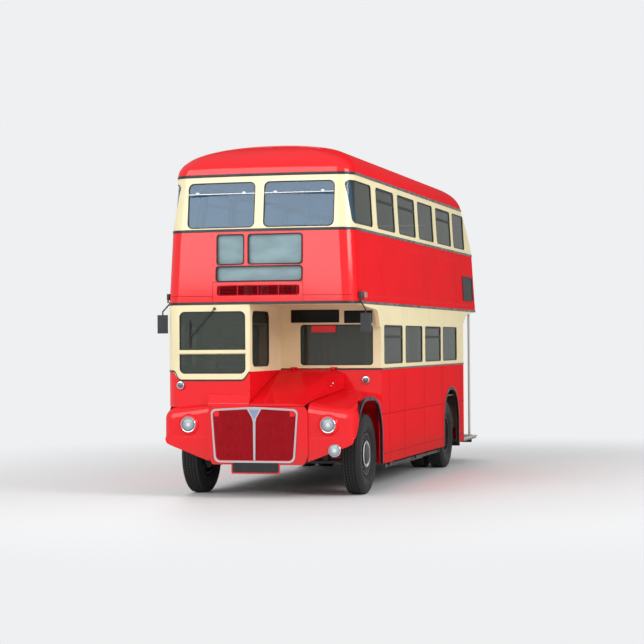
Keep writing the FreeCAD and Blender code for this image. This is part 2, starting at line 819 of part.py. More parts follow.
pane_outer = size.glass_depth
pane_inner = size.glass_depth + size.glass_thickness
pane_shell = band_shell(UPPER, pane_outer, pane_inner)
upper_pane_tools = side_window_tools(
    UPPER_WINDOWS, upper_glass_bottom, upper_glass_top, half_width - 400,
    shrink=size.seat_gap, corner=dim(60))
upper_pane_tools += [front_window_tool(span, size.seat_gap) for span in FRONT_WINDOWS]
node("upper_glass", common(pane_shell, loose(*upper_pane_tools)))
# ---------------------------------------------------------------- hinges of the flaps
HINGE_LENGTH = 90
HINGE_RADIUS = 10
HINGE_PIN = 5
# place of the axis along the bus and in height, hinge middles across
HINGES = {
    "bonnet": (bulkhead_y - 20, dim(1570), (70, 600)),
    "emergency_window": (rear_y - 2, dim(3333), (-260, 260)),
}


def leaf_barrel(name, x):
    """The moving barrel in the middle of a hinge."""
    y, z, _ = HINGES[name]
    half = HINGE_LENGTH / 6 - 0.5
    return rod("x", dim(x - half), y, z, HINGE_RADIUS, 2 * half)


def leaf_plate(x, y0, y1, z0, z1):
    half = HINGE_LENGTH / 6 - 0.5
    return block(dim(x - half), dim(x + half), y0, y1, z0, z1)


def pin_hole(name, x):
    y, z, _ = HINGES[name]
    return rod("x", dim(x - HINGE_LENGTH), y, z, HINGE_PIN + size.running_gap, 2 * HINGE_LENGTH)


def hinge_seat(name, x, y_back):
    """The two fixed barrels with their pin, on plates that reach the fixed wall."""
    y, z, _ = HINGES[name]
    third = HINGE_LENGTH / 3
    y0, y1 = (y, y_back) if y.value < y_back.value else (y_back, y)
    pieces = [rod("x", dim(x - HINGE_LENGTH / 2), y, z, HINGE_PIN, HINGE_LENGTH)]
    for start in (x - HINGE_LENGTH / 2, x + HINGE_LENGTH / 2 - third):
        pieces.append(rod("x", dim(start), y, z, HINGE_RADIUS, third))
        pieces.append(block(dim(start), dim(start + third), y0, y1, z - HINGE_RADIUS, z))
    return fuse(*pieces)


def hinge_seats(name, y_back):
    return [hinge_seat(name, x, y_back) for x in HINGES[name][2]]


EMERGENCY_FRAME = 55   # frame width round the emergency window's pane
EMERGENCY_SWING = 499  # outermost reach of the frame from its hinge


def emergency_window():
    """Frame whose top edge is cut back so that it swings out past the opening."""
    y, z, places = HINGES["emergency_window"]
    frame = cut(common(band_shell(UPPER), emergency_tool(size.door_gap)), emergency_tool(EMERGENCY_FRAME))
    frame = common(frame, rod("x", -half_width, y, z, EMERGENCY_SWING, size.body_width))
    foot = EMERGENCY[0] + size.door_gap
    leaves = []
    for x in places:
        leaves.append(leaf_barrel("emergency_window", x))
        leaves.append(leaf_plate(x, y - HINGE_RADIUS, y, z, foot + 30))
        leaves.append(leaf_plate(x, y - 40, y, foot + 2, foot + 30))
    return cut(fuse(frame, *leaves), *[pin_hole("emergency_window", x) for x in places])


node("emergency_window", emergency_window())
node("hinge_brackets", loose(
    *hinge_seats("bonnet", bulkhead_y),
    *[cut(seat, band_solid(UPPER, -size.seat_gap))
      for seat in hinge_seats("emergency_window", rear_y - 60)]))
node("emergency_glass", common(pane_shell, emergency_tool(EMERGENCY_FRAME + size.seat_gap)))


def roof():
    outer = loft([roof_outline(angle, dim(0)) for angle in ROOF_ANGLES])
    inner = loft([roof_outline(angle, size.body_wall) for angle in ROOF_ANGLES])
    return cut(outer, inner)


node("roof", roof())


def destination_blinds():
    """Blank blinds a little behind the front apertures."""
    face = front_y + 62
    return loose(*[blind_tool(blind, size.seat_gap, face, face + 8) for blind in BLINDS])


node("destination_blinds", destination_blinds())


def intake_grille():
    """Slatted air intake below the destination apertures."""
    x0, x1, z0, z1 = INTAKE
    start, end = front_y + 25, front_y + 45
    bar = 10
    frame = cut(blind_tool(INTAKE, size.seat_gap, start, end),
                block(x0 + 12, x1 - 12, start - 10, end + 10, z0 + 12, z1 - 12))
    bars = [block(x0 + 12 + (x1 - x0 - 24) * i / 4 - bar / 2, x0 + 12 + (x1 - x0 - 24) * i / 4 + bar / 2,
                  start + 2, end - 2, z0 + 6, z1 - 6) for i in range(1, 4)]
    slats = [block(x0 + 6, x1 - 6, start + 4, end - 4, z0 + 12 + (z1 - z0 - 24) * (i + 0.35) / 6,
                   z0 + 12 + (z1 - z0 - 24) * (i + 0.65) / 6) for i in range(6)]
    return fuse(frame, *bars, *slats)


node("intake_grille", intake_grille())

# ---------------------------------------------------------------- cab
SCREEN = (-1035, -165, 1520, 2285)
SCREEN_CORNER = 70
DOOR = (-655, -80, 1200, 2230)      # cab door opening: start, end, bottom, top
DOOR_OVERLAP = 18
DOOR_RUNNER = 16                    # height of the runner that carries the door
ROLLER_RADIUS = 11
CAB_REAR_WINDOW = (-15, 340)        # fixed side window behind the door


door_top = dim(DOOR[3] + DOOR_OVERLAP)


def cab_shell():
    """Front, offside and nearside walls of the driver's cab, with the door's runner."""
    bottom = size.cab_floor_height - size.floor_slab
    ring = cut(plan_prism(bottom, size.deck_line), plan_prism(bottom, size.deck_line, size.body_wall))
    front = common(ring, block(-half_width, size.cab_side, front_y, bulkhead_y, bottom, size.deck_line))
    partition = block(size.cab_side - size.body_wall, size.cab_side, front_y + 30, bulkhead_y,
                      bottom, size.deck_line)
    x0, x1, z0, z1 = [dim(v) for v in SCREEN]
    windscreen = profile("xz", front_y - FAR, front_y + FAR / 2,
                         rectangle(x0, x1, z0, z1, dim(SCREEN_CORNER)))
    y0, y1, z0, z1 = DOOR
    side = side_span(-1, inner_wall - 60, half_width + 50)
    door = profile("yz", side[0], side[1], rectangle(at(y0), at(y1), dim(z0), dim(z1), dim(60)))
    quarter = profile("yz", side[0], side[1], rectangle(
        at(CAB_REAR_WINDOW[0]), at(CAB_REAR_WINDOW[1]), lower_glass_bottom,
        lower_glass_top, size.window_corner))
    inner_light = profile("yz", size.cab_side - 200, size.cab_side + 50, rectangle(
        at(-790), at(-60), dim(1600), dim(2290), dim(90)))
    runner = block(-inner_wall, -inner_wall + size.door_gap + size.door_thickness + 6,
                   at(DOOR[0] - DOOR_OVERLAP), bulkhead_y, door_top + 2 * ROLLER_RADIUS,
                   door_top + 2 * ROLLER_RADIUS + DOOR_RUNNER)
    return fuse(cut(fuse(front, partition), windscreen, door, quarter, inner_light), runner)


node("cab_shell", cab_shell())


def cab_glass():
    """Windscreen, fixed side light, the tall light beside the bonnet and the rear lower window."""
    gap = size.seat_gap
    ring = cut(plan_prism(size.cab_floor_height, size.deck_line, pane_outer),
               plan_prism(size.cab_floor_height, size.deck_line, pane_inner))
    x0, x1, z0, z1 = [dim(v) for v in SCREEN]
    screen = common(ring, profile("xz", front_y - FAR, front_y + FAR / 2, rectangle(
        x0 + gap, x1 - gap, z0 + gap, z1 - gap, SCREEN_CORNER - gap)))
    quarter = profile("yz", -half_width + pane_outer, -half_width + pane_inner, rectangle(
        at(CAB_REAR_WINDOW[0]) + gap, at(CAB_REAR_WINDOW[1]) - gap, lower_glass_bottom + gap,
        lower_glass_top - gap, size.window_corner - gap))
    light = profile("yz", size.cab_side - pane_inner, size.cab_side - pane_outer, rectangle(
        at(-790) + gap, at(-60) - gap, 1600 + gap, 2290 - gap, 90 - gap))
    rear = common(ring, rear_window(gap))
    return [screen, quarter, light, rear]


node("lower_glass", loose(*lower_glass(), *bulkhead_glass(), *cab_glass()))


def cab_door():
    """A leaf that slides rearwards behind the cab side."""
    y0, y1, z0, z1 = DOOR
    outer = inner_wall - size.door_gap
    low, high = side_span(-1, outer - size.door_thickness, outer)
    leaf = profile("yz", low, high, rectangle(at(y0 - DOOR_OVERLAP), at(y1 + DOOR_OVERLAP),
                                              dim(z0 - DOOR_OVERLAP), dim(z1 + DOOR_OVERLAP), dim(70)))
    light = profile("yz", low - FAR, high + FAR, rectangle(
        at(y0 + 80), at(y1 - 80), lower_glass_bottom, lower_glass_top + 30,
        size.window_corner))
    grip = profile("yz", high - 12, high + FAR, rectangle(at(y0 + 25), at(y0 + 60), dim(1380), dim(1510),
                                                          dim(12)))
    rollers = [rod("x", low, at(station), door_top + ROLLER_RADIUS - size.seat_gap, ROLLER_RADIUS,
                   size.door_thickness) for station in (y0 + 60, y1 - 60)]
    carriers = [block(low, high, at(station - 8), at(station + 8), door_top - 20, door_top + ROLLER_RADIUS)
                for station in (y0 + 60, y1 - 60)]
    return fuse(cut(leaf, light, grip), *rollers, *carriers)


node("cab_door", cab_door())
node("cab_door_glass", profile("yz", -inner_wall + size.door_gap + 10,
                               -inner_wall + size.door_gap + 10 + size.glass_thickness, rectangle(
    at(DOOR[0] + 80) + size.seat_gap, at(DOOR[1] - 80) - size.seat_gap,
    lower_glass_bottom + size.seat_gap, lower_glass_top + 30 - size.seat_gap,
    size.window_corner - size.seat_gap)))


def cab_floor():
    """The cab floor, cut to the curve of the cab front."""
    slab = plan_prism(size.cab_floor_height - size.floor_slab, size.cab_floor_height,
                      size.body_wall + size.seat_gap)
    return common(slab, block(-half_width, size.cab_side - size.body_wall, front_y, bulkhead_y,
                              dim(0), size.deck_line))


node("cab_floor", cab_floor())

# ---------------------------------------------------------------- bonnet, wings and nose
NOSE_HALF = 630        # half width of the nose panel
NOSE_BOTTOM = 415
NOSE_SKIN = 30
LIP = 1122             # height of the nose panel's top edge
BONNET_LIP = 1156      # height of the bonnet's front edge
GRILLE = (-594, 515)   # outer edges of the grille surround


WING_ROUND = 115       # radius of the wing's front edge
WING_BACK = 25         # the wing's face behind the nose panel's
# station, outer edge, outer shoulder height, inner edge height, shoulder radius
WING_STAGES = ((-800, 1217, 1095, 1165, 150), (-300, 1218, 1190, 1215, 160), (470, 1218, 1235, 1310, 160))


def body_front(bottom):
    """The body's plan grown by the gap that seats a piece on its curved skin."""
    return plan_prism(bottom, size.deck_line, -size.seat_gap)


def wing_solid(side, skin):
    """The wing's outer form, or its inside when a skin is given."""
    _, outer, shoulder, inside, radius = WING_STAGES[0]
    wing_face = nose_face + WING_BACK
    rings = []
    for angle in (90, 68, 45, 22):
        drawn_in = WING_ROUND * (1 - math.cos(math.radians(angle)))
        behind = WING_ROUND * (1 - math.sin(math.radians(angle)))
        rings.append((wing_face + behind, outer - drawn_in, shoulder - drawn_in, inside - drawn_in,
                      radius - drawn_in))
    # the inside runs on past the open bottom, inner edge and rear
    spare = 40 if dim(skin).value else 0
    sections = []
    stages = rings + [(at(stage[0]),) + stage[1:] for stage in WING_STAGES]
    for number, (place, outer, shoulder, inside, radius) in enumerate(stages):
        if number == 0:
            place = place + skin
        if number == len(stages) - 1:
            place = place + spare
        sections.append(section("xz", place, mirrored([
            (dim(NOSE_HALF - spare), dim(380 - spare)), (dim(outer) - skin, dim(380 - spare)),
            (dim(outer) - skin, dim(shoulder) - skin, dim(radius) - skin),
            (dim(NOSE_HALF - spare), dim(inside) - skin)], side)))
    return loft(sections, ruled=True)


def wing(side):
    """A hollow wing with a rounded front, open over the wheel."""
    low, high = side_span(side, 300, half_width + 50)
    # the lower edge of the wing rises from the nose to the outer corner
    slope = profile("xz", nose_y - FAR, at(-300), mirrored([
        (dim(500), dim(505)), (dim(1300), dim(680)), (dim(1300), dim(100)), (dim(500), dim(100))], side))
    hollow = cut(wing_solid(side, 0), wing_solid(side, size.bonnet_skin))
    shaped = cut(cut(hollow, front_arch_tool(low, high)), slope)
    if side < 0:
        # the cab stands where the offside wing would rise
        return cut(shaped, body_front(size.cab_floor_height - size.floor_slab))
    gap = size.door_gap
    return cut(shaped, bonnet_solid(size.bonnet_split - gap, -gap, gap))


def bonnet_side():
    """The fixed part of the bonnet, under the cab."""
    back = front_y + 50
    hood = profile("yz", dim(-NOSE_HALF), size.bonnet_split - 3, [
        (nose_face, dim(LIP)), (nose_face, dim(BONNET_LIP), 18), (front_y, dim(1275), 20),
        (back, dim(1275)), (back, dim(LIP - 60)), (nose_face + NOSE_SKIN, dim(LIP - 60)),
        (nose_face + NOSE_SKIN, dim(LIP))])
    return cut(hood, body_front(dim(LIP - FAR)))


def nose_panel():
    """The panel between the wings, open behind the grille."""
    panel = profile("xz", nose_face, nose_face + NOSE_SKIN, [
        (dim(-NOSE_HALF), dim(520)), (dim(-580), dim(NOSE_BOTTOM), 30), (dim(580), dim(NOSE_BOTTOM), 30),
        (dim(NOSE_HALF), dim(520)), (dim(NOSE_HALF), dim(1060)), (dim(590), dim(LIP), 30),
        (dim(-590), dim(LIP), 30), (dim(-NOSE_HALF), dim(1060))])
    hole = profile("xz", nose_y - FAR, front_y + FAR, grille_loop(30))
    return fuse(cut(panel, hole), bonnet_side())


def grille_loop(inset):
    """The grille's outline, its sides drawn in towards the bottom, shrunk by an inset."""
    left, right = GRILLE
    return [(dim(left + 45 + inset), dim(440 + inset), 75 - inset * 0.5),
            (dim(right - 45 - inset), dim(440 + inset), 75 - inset * 0.5),
            (dim(right - inset), dim(1090 - inset), 60 - inset * 0.5),
            (dim((left + right) / 2), dim(1118 - inset), 900),
            (dim(left + inset), dim(1090 - inset), 60 - inset * 0.5)]


def grille_surround():
    return cut(profile("xz", nose_y, nose_face, grille_loop(0)),
               profile("xz", nose_y - 50, front_y + 50, grille_loop(22)))


def grille_mesh():
    """Fine mesh in two fields with a plain strip between them."""
    middle = (GRILLE[0] + GRILLE[1]) / 2
    face = nose_face + 4
    field = profile("xz", face, face + 10, grille_loop(30 + 0.3))
    strip = block(middle - 8, middle + 8, face - 12, face, 478, 1084)
    badge = profile("xz", face - 12, face, [
        (dim(middle - 62), dim(1084)), (dim(middle), dim(930)), (dim(middle + 62), dim(1084))])
    return fuse(field, strip, badge)


node("nose_panel", nose_panel())
node("grille_surround", grille_surround())
node("grille_mesh", grille_mesh())

# station, nearside edge, height of the crown, of the shoulder and of the lower edge
BONNET_STAGES = ((-500, 640, 1300, 1262, 1205), (0, 690, 1440, 1400, 1256), (464, 735, 1552, 1500, 1308))
BONNET_FRONT = (590, BONNET_LIP, 1136, LIP + 6)


def bonnet_solid(x_start, skin, drop):
    """The bonnet's lofted body from a seam out to its nearside edge."""
    stages = [(nose_face + skin,) + BONNET_FRONT] + [(at(stage[0]),) + stage[1:] for stage in BONNET_STAGES]
    rings = []
    for place, edge, crown, shoulder, low in stages:
        edge = dim(edge) - skin
        rings.append(section("xz", place, [
            (dim(x_start), dim(low) - drop), (edge, dim(low) - drop), (edge, dim(shoulder) - skin),
            (edge - 150, crown - dim(skin)), (dim(x_start), crown - dim(skin))]))
    return loft(rings, ruled=False)


def bonnet():
    outer = bonnet_solid(size.bonnet_split + 3, 0, 0)
    inner = bonnet_solid(size.bonnet_split + 3 - 40, size.bonnet_skin, 40)
    y, z, places = HINGES["bonnet"]
    leaves = []
    for x in places:
        leaves.append(leaf_barrel("bonnet", x))
        leaves.append(leaf_plate(x, y - 50, y, z - 24, z))
    return cut(fuse(cut(outer, inner), *leaves), *[pin_hole("bonnet", x) for x in places])


node("wings", loose(wing(1), wing(-1)))
node("bonnet", bonnet())




# ---------------------------------------------------------------- wheels and steering
wheel_z = size.tyre_radius
bore = size.stub_radius + size.running_gap


# shares of a tyre's section height
WALL_START = 0.357                   # widest part of the wall begins, above the rim
WALL_END = 0.294                     # and ends, below the tread
WALL_ROUNDS = (0.252, 0.210, 0.100)  # roundings at the lower wall, the upper wall and the tread edge


def tyre(x, y):
    half = size.tyre_width / 2
    rim, crown = size.rim_radius, size.tyre_radius
    low, high = rim + (crown - rim) * WALL_START, crown - (crown - rim) * WALL_END
    soft, firm, edge = [(crown - rim) * share for share in WALL_ROUNDS]
    return turned([
        (-half * 0.62, rim), (-half, low, soft), (-half, high, firm), (-half * 0.72, crown, edge),
        (half * 0.72, crown, edge), (half, high, firm), (half, low, soft), (half * 0.62, rim)],
        x, y, wheel_z)


def hub_cap(side, x, y, inner, outer):
    """Plug that closes the outer end of a hub's bore."""
    low, high = side_span(side, inner, outer)
    return rod("x", x + low, y, wheel_z, bore + 2, high - low)


def front_rim(side, x, y):
    """A pressed wheel on its hub, with the brake drum behind and a closed hub cap outside."""
    rim = size.rim_radius
    loop = [(-88, rim), (95, rim), (95, rim - 18), (56, rim - 44, 18), (56, 160, 14), (84, 132, 10),
            (112, 118, 14), (126, 60, 20), (126, bore), (-66, bore), (-66, 196, 8), (24, 196, 3),
            (38, rim - 58, 2), (-60, rim - 16, 14), (-88, rim - 16)]
    return fuse(turned(mirrored(loop, side), x, y, wheel_z), hub_cap(side, x, y, 90, 126))


def rear_rims(side, x, y):
    """Twin wheels as one turning, joined at the disc between the tyres."""
    rim = size.rim_radius
    reach = (size.front_track_half - size.twin_inner) / 2 + 90
    loop = [(-reach, rim), (reach, rim), (reach, rim - 16), (60, rim - 20, 14), (14, rim - 50, 14),
            (14, 150, 12), (60, 130, 12), (150, 112, 12), (162, 62, 14), (162, bore), (-130, bore),
            (-130, 200, 10), (-20, 200, 3), (-8, rim - 52, 2), (-50, rim - 18, 14), (-reach, rim - 16)]
    return fuse(turned(mirrored(loop, side), x, y, wheel_z), hub_cap(side, x, y, 150, 162))


twin_middle = (size.front_track_half + size.twin_inner) / 2
for side_name, side in SIDES:
    node("front_tyre_" + side_name, tyre(size.front_track_half * side, axle_y))
    node("front_rim_" + side_name, front_rim(side, size.front_track_half * side, axle_y))
    node("rear_tyres_" + side_name, loose(tyre(size.front_track_half * side, rear_axle_y),
                                          tyre(size.twin_inner * side, rear_axle_y)))
    node("rear_rims_" + side_name, rear_rims(side, twin_middle * side, rear_axle_y))

ARM_REACH = 175        # steering arm, kingpin to track rod pin
ARM_Z = (436, 456)
ROD_Z = 416            # height of the track rod
ROD_RADIUS = 14
ROD_PIN = 12
LOWER_BOSS = (370, 420)
UPPER_BOSS = (640, 690)
BOSS_RADIUS = 46


def knuckle(side):
    """Kingpin, upright, stub axle, brake back plate and steering arm."""
    king_x = size.kingpin_offset * side
    kingpin = rod("z", king_x, axle_y, dim(LOWER_BOSS[0] - 12), size.kingpin_radius,
                  UPPER_BOSS[1] - LOWER_BOSS[0] + 24)
    flange = size.front_track_half - 100
    low, high = side_span(side, size.kingpin_offset - 34, flange)
    upright = profile("xz", axle_y - 40, axle_y + 40, mirrored([
        (size.kingpin_offset - 34, dim(LOWER_BOSS[1] + 10)), (size.kingpin_offset + 34, dim(LOWER_BOSS[1] + 10)),
        (flange, dim(450)), (flange, dim(550)), (size.kingpin_offset + 34, dim(UPPER_BOSS[0] - 10)),
        (size.kingpin_offset - 34, dim(UPPER_BOSS[0] - 10))], side))
    plate_low, plate_high = side_span(side, flange - 1, flange + 14)
    plate = rod("x", plate_low, axle_y, wheel_z, 190, 15)
    stub_low, stub_high = side_span(side, flange, size.front_track_half + 84)
    stub = rod("x", stub_low, axle_y, wheel_z, size.stub_radius, stub_high - stub_low)
    arm = block(king_x - 20, king_x + 20, axle_y + 30, axle_y + ARM_REACH + 22, dim(ARM_Z[0]), dim(ARM_Z[1]))
    pin = rod("z", king_x, axle_y + ARM_REACH, dim(ROD_Z - 20), ROD_PIN, ARM_Z[0] - ROD_Z + 30)
    return fuse(kingpin, upright, plate, stub, arm, pin)


def track_rod():
    """The rod that joins the steering arms, with an eye at each end."""
    eyes = [rod("z", size.kingpin_offset * side, axle_y + ARM_REACH, dim(ROD_Z - 13), 26, 26)
            for side in (1, -1)]
    bar = rod("x", -size.kingpin_offset, axle_y + ARM_REACH, dim(ROD_Z), ROD_RADIUS,
              size.kingpin_offset * 2)
    holes = [rod("z", size.kingpin_offset, axle_y + ARM_REACH, dim(ROD_Z - 40), ROD_PIN + size.running_gap, 80),
             rod("z", -size.kingpin_offset, axle_y + ARM_REACH, dim(ROD_Z - 40), ROD_PIN + 1, 80)]
    return cut(fuse(bar, *eyes), *holes)


for side_name, side in SIDES:
    node("knuckle_" + side_name, knuckle(side))
node("track_rod", track_rod())

RAIL = (380, 450)      # the longitudinal rails, from the centre line
RAIL_Z = (470, 570)
CROSS_Z = (380, 470)
TOWER_TOP = 860
SPRING_X = 610
DRIVE_RADIUS = 165     # final drive casing


def front_suspension():
    """Cross beam, wishbones, spring towers and springs of the front axle."""
    pieces = [block(dim(-RAIL[1] - 30), dim(RAIL[1] + 30), axle_y - 60, axle_y + 60,
                    dim(CROSS_Z[0]), dim(CROSS_Z[1]))]
    holes = []
    for side in (1, -1):
        king_x = size.kingpin_offset * side
        for boss, z0, z1 in ((LOWER_BOSS, 380, 412), (UPPER_BOSS, 648, 680)):
            pieces.append(profile("xy", dim(z0), dim(z1), mirrored([
                (dim(RAIL[1]), axle_y - 100), (dim(RAIL[1]), axle_y + 100),
                (size.kingpin_offset, axle_y + 34), (size.kingpin_offset, axle_y - 34)], side)))
            pieces.append(rod("z", king_x, axle_y, dim(boss[0]), BOSS_RADIUS, boss[1] - boss[0]))
            holes.append(rod("z", king_x, axle_y, dim(boss[0] - 50),
                             size.kingpin_radius + size.running_gap, 150))
        low, high = side_span(side, RAIL[1], RAIL[1] + 30)
        pieces.append(block(low, high, axle_y - 100, axle_y + 100, dim(CROSS_Z[0]), dim(TOWER_TOP)))
        low, high = side_span(side, RAIL[1], SPRING_X + 80)
        pieces.append(block(low, high, axle_y - 80, axle_y + 80, dim(TOWER_TOP - 25), dim(TOWER_TOP)))
        for z0, z1 in ((400, 650), (670, TOWER_TOP - 20)):
            pieces.append(rod("z", dim(SPRING_X * side), axle_y, dim(z0), 58, z1 - z0))
    return cut(fuse(*pieces), *holes)


node("front_suspension", front_suspension())


def rear_axle():
    """Axle tube, offset final drive, radius arms and springs."""
    tube = rod("x", dim(-600), rear_axle_y, wheel_z, 58, 1200)
    half_shafts = rod("x", -(twin_middle + 140), rear_axle_y, wheel_z, size.stub_radius,
                twin_middle * 2 + 280)
    drive = rod("x", dim(FINAL_DRIVE_X - 85), rear_axle_y, wheel_z, DRIVE_RADIUS, 170)
    nose = rod("y", dim(FINAL_DRIVE_X), rear_axle_y - DRIVE_RADIUS, dim(470), 50, DRIVE_RADIUS)
    pieces = [tube, half_shafts, drive, nose]
    for side in (1, -1):
        low, high = side_span(side, RAIL[1] + 20, RAIL[1] + 80)
        pieces.append(block(low, high, rear_axle_y - 700, rear_axle_y + 290, dim(430), dim(455)))
        middle = dim((RAIL[1] + 50) * side)
        pieces.append(rod("z", middle, rear_axle_y + 240, dim(440), 52,
                          size.floor_height - size.floor_slab - 440 - size.seat_gap))
        pieces.append(block(low, high, rear_axle_y - 700, rear_axle_y - 640, dim(440),
                            size.floor_height - size.floor_slab))
    return fuse(*pieces)


node("rear_axle", rear_axle())

# ---------------------------------------------------------------- underframe and running units
BEAM_STATIONS = (760, 1760, 2880, 4010)
BEAM_BOTTOM = 510
REAR_BEAMS = (5960, 7000)


def underframe():
    """Two rails on each side of the rear axle, joined by beams under the floor."""
    top = size.floor_height - size.floor_slab
    pieces = []
    for side in (1, -1):
        low, high = side_span(side, RAIL[0], RAIL[1])
        pieces.append(block(low, high, front_y + 60, rear_axle_y - 300, dim(RAIL_Z[0]), top))
    for station in BEAM_STATIONS:
        pieces.append(block(-inner_wall, inner_wall, at(station), at(station + 70), dim(BEAM_BOTTOM), top))
    pieces.append(block(dim(-RAIL[1]), dim(RAIL[1]), front_y + 60, front_y + 120, dim(RAIL_Z[0]), top))
    # the first beam is arched over the clutch shaft
    arch = block(dim(-70), dim(70), at(BEAM_STATIONS[0] - 10), at(BEAM_STATIONS[0] + 80),
                 dim(BEAM_BOTTOM - 10), dim(BEAM_BOTTOM + 28))
    return cut(fuse(*pieces), arch)


def rear_frame():
    """Rails and beams that carry the platform."""
    top = size.platform_height - size.floor_slab
    pieces = []
    for side in (1, -1):
        low, high = side_span(side, 560, 620)
        pieces.append(block(low, high, at(5880), rear_y - 80, top - 70, top))
    for station in REAR_BEAMS:
        pieces.append(block(-inner_wall, inner_wall, at(station), at(station + 60), top - 60, top))
    return fuse(*pieces)


node("underframe", loose(underframe(), rear_frame()))

ENGINE = (-650, 330)
node("engine", block(dim(-300), dim(300), at(ENGINE[0]), at(ENGINE[1]), dim(480), dim(1060)))
GEARBOX = (1500, 2120)


def gearbox():
    case = block(dim(-170), dim(170), at(GEARBOX[0]), at(GEARBOX[1]), dim(320), dim(480))
    ears = block(dim(-RAIL[0]), dim(RAIL[0]), at(GEARBOX[0] + 60), at(GEARBOX[0] + 140), dim(470), dim(BEAM_BOTTOM))
    return fuse(case, ears)


def shaft(start, end):
    """A tube between two flanges that face along the bus."""
    flange = 12
    return fuse(rod("y", *start, 55, flange), rod("y", end[0], end[1] - flange, end[2], 55, flange),
                strut((start[0], start[1] + flange / 2, start[2]), (end[0], end[1] - flange / 2, end[2]), 36))


node("transmission", loose(
    gearbox(),
    shaft((dim(0), at(ENGINE[1]), dim(545)), (dim(0), at(GEARBOX[0]), dim(400))),
    shaft((dim(-60), at(GEARBOX[1]), dim(400)), (dim(FINAL_DRIVE_X), rear_axle_y - DRIVE_RADIUS, dim(470)))))


def exhaust():
    silencer = rod("y", dim(-700), at(1300), dim(400), 95, 700)
    tail = rod("y", dim(-700), at(1900), dim(400), 34, 1500)
    hangers = [block(dim(-712), dim(-688), at(station), at(station + 70), dim(420), dim(BEAM_BOTTOM))
               for station in (1760, 2880)]
    return fuse(silencer, tail, *hangers)


node("exhaust", exhaust())
node("fuel_tank", profile("yz", dim(560), dim(1080), rectangle(
    at(2700), at(3700), dim(235), dim(BEAM_BOTTOM), dim(60))))


GUARD_INSET = 34       # lifeguard rail inside the lining


def lifeguards():
    """Low rails that guard the gap between the wheels."""
    rails = []
    for side in (1, -1):
        low, high = side_span(side, inner_wall - GUARD_INSET, inner_wall - GUARD_INSET + 18)
        rail = block(low, high, at(900), at(4480), dim(270), dim(312))
        posts = []
        for station in (1100, 2750, 4350):
            post_low, post_high = side_span(side, inner_wall - GUARD_INSET, inner_wall)
            posts.append(block(post_low, post_high, at(station), at(station + 30), dim(280), dim(420)))
        rails.append(fuse(rail, *posts))
    return loose(*rails)


node("lifeguards", lifeguards())

# ---------------------------------------------------------------- seats and handrails
LOWER_ROWS = (1250, 1980, 2710, 3440)
UPPER_ROWS = (-330, 400, 1130, 1860, 2590, 3320, 4050, 4780, 5510)
SEAT_BASE, SEAT_TOP, BACK_TOP = 320, 430, 930


def seat(side, station, floor, seat_outer):
    """Cushion and squab in one closed solid."""
    low, high = side_span(side, seat_outer - size.seat_width, seat_outer)
    return profile("yz", low, high, [
        (at(station), floor + SEAT_BASE), (at(station + 440), floor + SEAT_BASE),
        (at(station + 560), floor + BACK_TOP, 25), (at(station + 495), floor + BACK_TOP, 25),
        (at(station + 400), floor + SEAT_TOP), (at(station), floor + SEAT_TOP, 35)])


def seat_frame(side, station, floor, seat_outer):
    """Leg and the grab rail on top of the squab."""
    seat_inner = seat_outer - size.seat_width
    low, high = side_span(side, seat_inner + 90, seat_inner + 130)
    leg = profile("yz", low, high, [
        (at(station + 60), floor), (at(station + 380), floor), (at(station + 300), floor + SEAT_BASE - size.seat_gap),
        (at(station + 140), floor + SEAT_BASE - size.seat_gap)])
    low, high = side_span(side, seat_inner + 30, seat_outer - 30)
    top = rod("x", low, at(station + 528), floor + BACK_TOP + 13 + size.seat_gap, 13, high - low)
    return [leg, top]


def seat_group(rows, floor, seat_outer):
    seats, frames = [], []
    for station in rows:
        for side in (1, -1):
            seats.append(seat(side, station, floor, seat_outer))
            frames += seat_frame(side, station, floor, seat_outer)
    return seats, frames


lower_cushions, lower_frames = seat_group(LOWER_ROWS, size.floor_height, inner_wall - 12)
for side in (1, -1):
    low, high = side_span(side, inner_wall - 480, inner_wall - 12)
    lower_cushions.append(profile("xz", box_front + 20, box_back - 20, mirrored([
        (inner_wall - 480, dim(WHEEL_BOX_TOP)), (inner_wall - 12, dim(WHEEL_BOX_TOP)),
        (inner_wall - 12, dim(WHEEL_BOX_TOP + 470), 25), (inner_wall - 70, dim(WHEEL_BOX_TOP + 470), 25),
        (inner_wall - 100, dim(WHEEL_BOX_TOP + 100)), (inner_wall - 480, dim(WHEEL_BOX_TOP + 100), 30)],
        side)))
upper_floor_top = size.deck_line + size.upper_floor_slab
upper_cushions, upper_frames = seat_group(UPPER_ROWS, upper_floor_top,
                                          inner_wall - size.dome_inset - 6)
node("lower_seats", loose(*lower_cushions))
node("upper_seats", loose(*upper_cushions))
node("seat_frames", loose(*lower_frames, *upper_frames))

SEAT_FLOOR = size.cab_floor_height
node("driver_seat", fuse(
    profile("yz", dim(-870), dim(-420), [
        (at(-130), SEAT_FLOOR + 330), (at(290), SEAT_FLOOR + 330), (at(400), SEAT_FLOOR + 880, 30),
        (at(335), SEAT_FLOOR + 880, 30), (at(250), SEAT_FLOOR + 430), (at(-130), SEAT_FLOOR + 430, 40)]),
    block(dim(-720), dim(-570), at(0), at(180), SEAT_FLOOR, SEAT_FLOOR + 335)))


